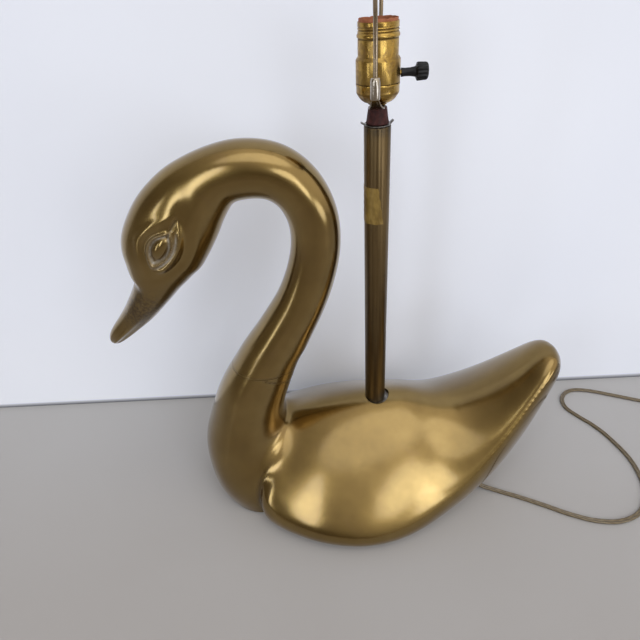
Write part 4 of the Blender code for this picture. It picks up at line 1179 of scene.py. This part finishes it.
# Corners of an ear's section, as shares of its half width and half thickness.
EAR_SECTION = (-1, -0.6), (-0.96, -1), (0.96, -1), (1, -0.6), (1, 0.6), (0.96, 1), (-0.96, 1), (-1, 0.6)


def add_tab_washer(steel):
    """A thin washer with two small bent ears, one higher than the other."""
    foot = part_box("tab_washer")[0].z
    top = foot + 0.0007
    r = radius_of("stem_tube")
    profile = near(r, foot, (0, 1)) + near(r, top, (0, -1), (-1, 0))
    profile += [(PIPE_HOLE_R, top), (PIPE_HOLE_R, foot), *near(r, foot, (-1, 0))]
    turned("washer_on_stem", profile, 96, material=steel, slot="steel", replaces=("tab_washer",))
    for name, side, slope in (("left_ear", -1, 0.5), ("right_ear", 1, 0.75)):
        rings = []
        for share in np.linspace(0, 1, 12):
            bend = slope * rise(share, 0.0, 0.35)
            reach = -0.0004 + 0.0042 * share
            x = r * 0.92 + reach * math.cos(bend)
            z = foot + 0.0004 + reach * math.sin(bend)
            wide = 0.0035 - 0.0009 * share**2 - 0.0008 * rise(share, 0.93, 1.0)
            back, up = 0.00032 * math.sin(bend), 0.00032 * math.cos(bend)
            rings.append([
                (side * (x - dz * back), wide * dy + 0.0003 * side, z + dz * up) for dy, dz in EAR_SECTION
            ])
        loft(name, on_stem(rings), material=steel, slot="steel", sharp=50)


def add_bushing():
    low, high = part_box("insulating_bushing")
    wide = radius_of("insulating_bushing")
    narrow = wide - STEP_IN
    profile = near(narrow, high.z, (-6, 0), (-1, -3), (1, -12))
    profile += near(wide, low.z, (-3, 24), (0, 16), (0, 3), (-3, 0))
    profile += [(PIPE_HOLE_R, low.z), (PIPE_HOLE_R, high.z)]
    fibre = plain("dark_red_fibre", (0.065, 0.014, 0.011), (0.030, 0.007, 0.006), 0.5, 320, 0.25)
    turned("bushing", profile, 96, material=fibre, slot="red_bushing", replaces=("insulating_bushing",))


def superellipse(wide, thin, power, count=28):
    angle = around(count)
    across = wide * np.sign(np.cos(angle)) * np.abs(np.cos(angle)) ** power
    over = thin * np.sign(np.sin(angle)) * np.abs(np.sin(angle)) ** power
    return across, over


def add_saddle(harp_metal):
    """The bent strip under the socket, with a pressed rib up each arm."""
    low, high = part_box("harp_saddle")
    thin = 0.0008
    plate = low.z + thin
    half = HARP_HALF_SPACING
    rows = [
        (0, plate, 0, 0.0062, thin, 0), (half * 0.40, plate, 0, 0.0062, thin, 0),
        (half * 0.62, plate + 0.0017, 24, 0.0055, thin, 0.3),
        (half * 0.80, plate + 0.0045, 38, 0.0043, thin, 1),
        (half * 0.94, plate + 0.0078, 60, 0.0033, 0.0009, 1),
        (half * 0.995, plate + 0.0098, 84, 0.0028, 0.0011, 1),
        (half, plate + 0.0112, 90, 0.0013, 0.0013, 0), (half, high.z - 0.002, 90, 0.0012, 0.0012, 0),
        (half, high.z, 90, 0.0012, 0.0012, 0),
    ]
    fine = splined(rows, 90)
    left = fine[:0:-1] * (-1, 1, -1, 1, 1, 1)
    rings = []
    for v, z, slope, wide, thick, rib in np.vstack([left, fine]):
        lean = math.radians(slope)
        across, over = superellipse(wide, thick, 0.45)
        over = over + 0.0007 * rib * bell(across, 0.0016) * np.sign(-v)
        rings.append(np.stack([across, v - over * math.sin(lean), z + over * math.cos(lean)], axis=1))
    saddle = loft("saddle", on_harp(rings), material=harp_metal, slot="harp_metal",
                  replaces=("harp_saddle",), sharp=50)
    bored(saddle, PIPE_HOLE_R, (STEM_X, 0, plate), (0, 0, 1))
    # Painted shade: darker low down under the socket's cap, lighter only up the arms towards the ferrules.
    add_grime_and_shade(saddle, lambda x, y, z: 1 - 0.7 * rise(z, high.z - 0.010, high.z - 0.006))


def add_harp(harp_metal, nickel):
    low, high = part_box("harp_wire")
    tall = high.z - HARP_WIRE_R - low.z
    half = [(share * HARP_HALF_WIDTH, low.z + rise_share * tall) for rise_share, share in HARP_HALF]
    half[:HARP_STRAIGHT] = [(HARP_HALF_SPACING, z) for _, z in half[:HARP_STRAIGHT]]
    rows = half + [(-y, z) for y, z in half[::-1]]
    line = evenly(splined(rows, 400), 0.0028)
    forward = unit(np.gradient(line, axis=0))
    angle = around(20)
    rings = []
    for (y, z), (dy, dz) in zip(line, forward):
        out = HARP_WIRE_R * np.sin(angle)
        rings.append(np.stack([HARP_WIRE_R * np.cos(angle), y - dz * out, z + dy * out], axis=1))
    loft("harp", on_harp(rings), body="harp", material=harp_metal, slot="harp_metal",
         replaces=("harp_wire",), sharp=50)
    for side in ("near", "far"):
        add_ferrule(side, nickel)
    round_edges("harp_crown", 0.0006, 3)


def add_ferrule(side, nickel):
    node = "harp_ferrule_" + side
    low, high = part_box(node)
    place = centre_of(node)
    bore = HARP_WIRE_R + 0.00008
    profile = [(bore, high.z)]
    profile += shares(FERRULE_R, high.z, (0.62, 0), (0.80, -3), (0.92, -10), (1, -24), (1, -60))
    profile += [*shares(FERRULE_R, low.z, (0.985, 12), (0.95, 3), (0.90, 0)), (bore, low.z)]
    turned(side + "_ferrule", profile, 72, (place.x, place.y, 0), body="ferrule_" + side, material=nickel,
           slot="harp_metal", replaces=(node,))


def add_stud_and_finial(harp_metal, gold):
    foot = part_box("shade_stud")[0].z
    profile = [(0, foot + 0.0130), (0.0024, foot + 0.0130), (0.0029, foot + 0.0126)]
    for i in range(16):
        z = foot + 0.0123 - 0.0006 * i
        profile += [(STUD_R, z), (STUD_R - 0.0002, z - 0.0003)]
    profile += near(STUD_R, foot, (0, 26)) + near(STUD_COLLAR_R, foot, (-4, 25), (0, 21), (0, 3), (-4, 0))
    profile += [(0, foot)]
    turned("stud", profile, 64, body="shade_stud", material=harp_metal, slot="harp_metal",
           replaces=("shade_stud",))
    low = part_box("finial")[0]
    knob = [(0.0, 0.0240), (0.0016, 0.0239), (0.0030, 0.0234), (0.0058, 0.0205), (0.0066, 0.0170),
            (0.0056, 0.0134), (0.0036, 0.0113), (0.0033, 0.0105), (0.0034, 0.0098), (0.0060, 0.0070),
            (0.0072, 0.0045), (0.0074, 0.0034), (0.0074, 0.0010), (0.0068, 0.0)]
    knob = splined(knob, 66)
    knob[:, 0] = np.maximum(knob[:, 0], 0)
    knob[0, 0] = 0
    profile = [(r, low.z + z) for r, z in knob]
    bore = STUD_R + GAP
    profile += [(bore, low.z), (bore, low.z + 0.0105), (0, low.z + 0.0105)]
    turned("finial_knob", profile, 64, body="shade_stud", material=gold, slot="socket_brass",
           replaces=("finial",))


DIMPLE_AT = math.radians(-79)           # where the cap is dented, about the stem's axis
FOLD_AT = math.radians(-146)


def facing(angles, middle, width):
    """1 at the middle angle, falling off to both sides."""
    return bell(np.sin((angles - middle) / 2), width)


def add_cap(gold):
    low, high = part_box("socket_cap")
    wide = radius_of("socket_cap")
    rim = wide - CAP_LIP
    bend = low.z + CAP_BEND
    outer = near(wide, high.z, (-1, 0), (0, -3), (0, -10), (-1, -14)) + near(rim, high.z, (0, -18))
    outer += shares(rim, bend, (1, 18), (0.995, 6), (0.975, -4), (0.94, -14), (0.88, -30), (0.78, -47),
                    (0.66, -60), (0.54, -67), (0.47, -71))
    inner = [
        (rim * 0.45, low.z), (PIPE_HOLE_R, low.z), (PIPE_HOLE_R, low.z + SHEET),
        (rim * 0.44, low.z + 3 * SHEET), *shares(rim, bend, (0.72, -40), (0.87, -16), (0.94, 8)),
        (rim - SHEET, bend + 0.0022), (rim - SHEET, high.z),
    ]

    def dented(angles, radius, height):
        dimple = facing(angles, DIMPLE_AT, 0.028) * bell(height - (bend + 0.0040), 0.0012)
        fold = facing(angles, FOLD_AT, 0.16) * bell(height - (bend - 0.0032), 0.0022)
        wave = ragged(angles, 0.0003) * rise(bend + 0.001 - height, 0, 0.003)
        shallow = dimple * 0.0007 + fold * 0.0008 * np.abs(np.sin(9 * angles)) + wave
        return radius - shallow * rise(radius, 0.007, 0.010), height

    cap = turned("cap", outer + inner, 160, wobble=dented, material=gold, slot="socket_brass",
                 replaces=("socket_cap",))

    # Painted shade: darker under the cap round the bushing, along its bend, on the dent at its lower left and
    # in the small dimple.
    def dirt_and_shade(x, y, z):
        r = np.hypot(x, y)
        angle = np.arctan2(y, x)
        left = facing(angle, FOLD_AT, 0.22) * rise(bend - z, 0.0, 0.003)
        dimple = facing(angle, DIMPLE_AT, 0.035) * bell(z - (bend + 0.0040), 0.0011)
        crown = 0.75 * bell(z - bend - 0.0004, 0.0006) + 0.5 * rise(0.0115 - r, 0, 0.004)
        return crown + 0.8 * left + 0.8 * dimple

    add_grime_and_shade(cap, dirt_and_shade)


THREAD_PITCH = 0.0020


def add_shell(gold):
    """The upper sheet of the socket: rolled threads for a shade ring, a bead, and a wider skirt."""
    low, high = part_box("socket_shell")
    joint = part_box("socket_cap")[1].z
    wide = radius_of("socket_cap")
    narrow = wide - STEP_IN
    tuck = wide - SHEET - 0.0009
    step = joint + SKIRT_HEIGHT
    bead = high.z - BEAD_DEPTH
    outer = near(narrow, high.z, (-1, 0), (0, -2))
    outer += [(narrow, z) for z in np.arange(high.z - 0.0008, bead + 0.0018, -0.0002)]
    outer += near(narrow, bead, (2, 15), (6, 9), (7, 0), (6, -7), (1, -12), (-3, -16), (-2, -21), (0, -27))
    outer += near(narrow, step, (0, 30), (1, 24), (5, 19)) + near(wide, step, (-5, 8), (-1, 3), (0, -4))
    outer += near(wide, joint, (0, 9), (-1, 5), (-3, 3)) + [(tuck, joint + GAP), (tuck, low.z)]
    inner = [
        (tuck - SHEET, low.z), (tuck - SHEET, joint + 0.0008), (wide - SHEET, joint + 0.0014),
        (wide - SHEET, step - 0.0002), (narrow - SHEET, step + 0.0022), (narrow - SHEET, high.z),
    ]

    def thread_at(height):
        return between(height, bead + 0.0016, bead + 0.0026, high.z - 0.0036, high.z - 0.0028)

    def threaded(angles, radius, height):
        wave = np.cos(2 * math.pi * height / THREAD_PITCH - angles)
        dent = 0.0002 * ragged(3 * angles + 900 * height, 1.0) * rise(radius, narrow - 0.0002, narrow)
        dent = dent * (1 - rise(height, bead - 0.003, bead - 0.002))
        thread = 0.0003 * thread_at(height) * (wave - 0.6)
        return radius + rise(radius, narrow - 0.0003, narrow) * thread - dent * 0.6, height

    shell = turned("shell", outer + inner, 192, wobble=threaded, material=gold, slot="socket_brass",
                   replaces=("socket_shell",))
    bored(shell, KEY_HOLE_R, (STEM_X + wide, 0, centre_of("switch_knob").z), (1, 0, 0))

    # Darker in the thread grooves, under the bead, above the step and at the joint with the cap.
    def dirt_and_shade(x, y, z):
        angle = np.arctan2(y, x)
        groove = thread_at(z) * rise(-np.cos(2 * math.pi * z / THREAD_PITCH - angle), 0.1, 0.9)
        lines = bell(z - bead + 0.0017, 0.0006) + 0.8 * bell(z - joint - 0.0003, 0.0006)
        lines += 0.45 * bell(z - step - 0.0012, 0.0012)
        return 0.8 * groove + lines

    add_grime_and_shade(shell, dirt_and_shade)


def add_liner():
    low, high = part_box("socket_liner")
    r = radius_of("socket_liner")
    profile = [(r, low.z), *near(r, high.z, (0, -6), (-1, 0), (-4, 0), (-5, -6)), *near(r, low.z, (-5, 0))]

    def frayed(angles, radius, height):
        at_top = rise(height, high.z - 0.0010, high.z - 0.0004)
        return radius, height - at_top * (ragged(angles, 0.0005) + 0.0006 * bell(np.sin(angles + 1.2), 0.06))

    paper = plain("orange_fibre", (0.42, 0.155, 0.075), (0.30, 0.10, 0.045), 0.62, 260, 0.3)
    liner = turned("liner", profile, 160, wobble=frayed, material=paper, slot="fibre_liner",
                   replaces=("socket_liner",))
    bored(liner, KEY_HOLE_R, (STEM_X + r, 0, centre_of("switch_knob").z), (1, 0, 0))


KNOB_FLUTES = 16
KNOB_HEAD = 0.0088          # long


def add_switch(black):
    low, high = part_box("switch_knob")
    middle = centre_of("switch_knob").z
    stem_r, head_r, bore = 0.0031, 0.0067, 0.0022
    start, end = low.x, high.x
    head = end - KNOB_HEAD
    deep = end - KNOB_HEAD / 2
    section = [
        (bore, deep), (bore, start), *near(stem_r, start, (0, 0), (2, 2), (-1, 30), (0, 70)),
        *near(stem_r, head, (5, -16), (8, -7)), *near(head_r, head, (-22, -3), (-10, 0), (-3, 4), (0, 10)),
        *near(head_r, end, (-3, -18), (-6, -9), (-11, -4), (-17, 0)), (0.0040, end),
        *near(0.0, end, (36, -3), (4, -3)),
    ]
    depths = [0] * 9 + [0.3, 0.8, 1, 1, 1, 0.7, 0.2] + [0] * 3
    angle = around(KNOB_FLUTES * 10)
    flute = (0.5 - 0.5 * np.cos(KNOB_FLUTES * angle)) ** 0.6
    rings = []
    for (radius, x), depth in zip(section, depths):
        r = radius - 0.0006 * depth * flute
        along = np.full(len(angle), x)
        rings.append(np.stack([along, r * np.cos(angle), middle + r * np.sin(angle)], axis=1))
    loft("knob", rings, body="switch_key", material=black, slot="black_phenolic", replaces=("switch_knob",),
         sharp=35)


def round_edges(node, width, segments):
    rounded = frame["nodes"][node].modifiers.new("rounded", "BEVEL")
    rounded.width = width
    rounded.segments = segments


def dress_cad(steel, gold, black, harp_metal):
    """Materials for the CAD nodes that stay, most of them inside the lamp."""
    rubber = plain("black_rubber", (0.030, 0.030, 0.031), (0.016, 0.016, 0.017), 0.55, 420, 0.3)
    felt = plain("green_felt", (0.030, 0.075, 0.042), (0.012, 0.035, 0.020), 0.95, 900, 0.9)
    plug = plain("gold_plug", (0.46, 0.34, 0.17), (0.36, 0.25, 0.11), 0.34, 90, 0.1)
    blade = metal("plug_brass", (0.62, 0.47, 0.24), (0.48, 0.34, 0.16), 0.24, 200)
    for material, nodes in (
        (steel, ("base_plate", "stem_seat_washer", "threaded_pipe", "stem_nut_washer", "stem_nut",
                 "terminal_screw_neutral")),
        (gold, ("screw_shell", "centre_contact", "terminal_screw_live", "switch_shaft")),
        (black, ("socket_interior",)),
        (harp_metal, ("harp_crown",)),
        (rubber, ("cord_bush",)),
        (felt, ("felt_pad",)),
        (plug, ("plug_body", "inner_cord")),
        (blade, ("plug_blade_left", "plug_blade_right")),
    ):
        for name in nodes:
            paint(frame["nodes"][name].data, material)
    for name, width in (("stem_nut", 0.0005), ("plug_blade_left", 0.0002), ("plug_blade_right", 0.0002)):
        round_edges(name, width, 2)
    smoother = frame["nodes"]["plug_body"].modifiers.new("smoother", "SUBSURF")
    smoother.levels = smoother.render_levels = 2
    for name in ("plug_body", "cord_bush", "inner_cord", "stem_seat_washer", "screw_shell"):
        smooth(frame["nodes"][name].data, 40)


def add_fittings():
    steel = metal("old_steel", (0.30, 0.29, 0.27), (0.12, 0.105, 0.09), 0.34, 180)
    gold = socket_brass()
    black = plain("black_phenolic", (0.009, 0.009, 0.010), (0.005, 0.005, 0.006), 0.3, 240, 0.08)
    harp_metal = metal("harp_metal", (0.40, 0.32, 0.22), (0.20, 0.145, 0.085), 0.20, 150, (1, 1, 0.12))
    nickel = metal("ferrule_nickel", (0.50, 0.45, 0.38), (0.36, 0.31, 0.24), 0.14, 90)
    add_stem()
    add_tape()
    add_tab_washer(steel)
    add_bushing()
    add_saddle(harp_metal)
    add_harp(harp_metal, nickel)
    add_stud_and_finial(harp_metal, gold)
    add_cap(gold)
    add_shell(gold)
    add_liner()
    add_switch(black)
    dress_cad(steel, gold, black, harp_metal)


# ---------------------------------------------------------------- stage and lights
WALL_GAP = 0.006
FAR = 3.0                               # how far the table and the wall reach
ROOM_TILT = (0.6, 0.0, 0.8)             # the room is brightest this way
ROOM = (0.02, (0.20, 0.17, 0.125)), (0.32, (0.52, 0.48, 0.41)), (0.75, (1.12, 1.05, 0.96))


def add_stage():
    """The table's top and the wall behind it, which faces the lamp."""
    back = CAD_BOX[1].y + WALL_GAP
    for name, corners, material in (
        ("floor", [(-FAR, -FAR, 0), (FAR, -FAR, 0), (FAR, FAR, 0), (-FAR, FAR, 0)], floor_paint()),
        ("wall", [(-FAR, back, 0), (FAR, back, 0), (FAR, back, FAR), (-FAR, back, FAR)], wall_paint()),
    ):
        made = placed(name, mesh_of(name, corners, [(0, 1, 2, 3)]))
        made.data.materials.append(material)


# Each window is an oval of light: degrees from straight ahead of the lamp's side towards its tail,
# degrees up, metres away, its width and height in degrees as seen from the lamp, and its radiance.
WINDOWS = [
    ("front_window", 21, 30, 0.95, (26, 18), 2.3),
    ("side_window", 31, 17, 0.95, (14, 19), 3.3),
    ("left_window", -31, 25, 0.95, (13, 32), 4.0),
    ("far_left_window", -55, 12, 0.95, (5, 30), 4.5),
    ("low_window", 51, 4, 0.95, (25, 14), 2.8),
    ("ceiling_light", 10, 62, 1.5, (60, 30), 1.0),
]
LIT_PLACE = (-0.03, 0.0, 0.16)          # relative to the stem's axis
WINDOW_COLOUR = (0.93, 1.0, 1.13)


def add_window(name, azimuth, elevation, distance, size, radiance):
    data = bpy.data.lights.new(name, "AREA")
    data.shape = "ELLIPSE"
    data.size, data.size_y = (2 * distance * math.tan(math.radians(angle) / 2) for angle in size)
    data.energy = radiance * math.pi * data.size * data.size_y * math.pi / 4
    data.color = WINDOW_COLOUR
    lamp = placed(name, data)
    target = Vector(on_stem(LIT_PLACE))
    flat = math.cos(elevation)
    heading = Vector((math.sin(azimuth) * flat, -math.cos(azimuth) * flat, math.sin(elevation)))
    place = target + heading * distance
    lamp.location = place
    lamp.rotation_mode = "QUATERNION"
    lamp.rotation_quaternion = (target - place).to_track_quat("-Z", "Y")


def add_lights():
    world = bpy.data.worlds.new("room")
    world.use_nodes = True
    bpy.context.scene.world = world
    tree = world.node_tree
    heading = tree.nodes.new("ShaderNodeTexCoord")
    tilt = tree.nodes.new("ShaderNodeVectorMath")
    tilt.operation = "DOT_PRODUCT"
    tilt.inputs[1].default_value = ROOM_TILT
    ramp = tree.nodes.new("ShaderNodeValToRGB")
    tree.links.new(heading.outputs["Generated"], tilt.inputs[0])
    tree.links.new(tilt.outputs["Value"], ramp.inputs["Fac"])
    tree.links.new(ramp.outputs["Color"], tree.nodes["Background"].inputs["Color"])
    ramp.color_ramp.elements.new(0.5)
    for stop, (place, colour) in zip(ramp.color_ramp.elements, ROOM):
        stop.position = place
        stop.color = (*colour, 1)
    for name, azimuth, elevation, distance, size, radiance in WINDOWS:
        add_window(name, math.radians(azimuth), math.radians(elevation), distance, size, radiance)


def main():
    bpy.context.scene.view_settings.view_transform = "Standard"
    add_camera()
    add_cord()
    brass = cast_brass()
    add_swan_body(brass)
    add_swan_neck(brass)
    add_fittings()
    add_stage()
    add_lights()


CUTTERS = bpy.data.collections.new("cutters")
main()
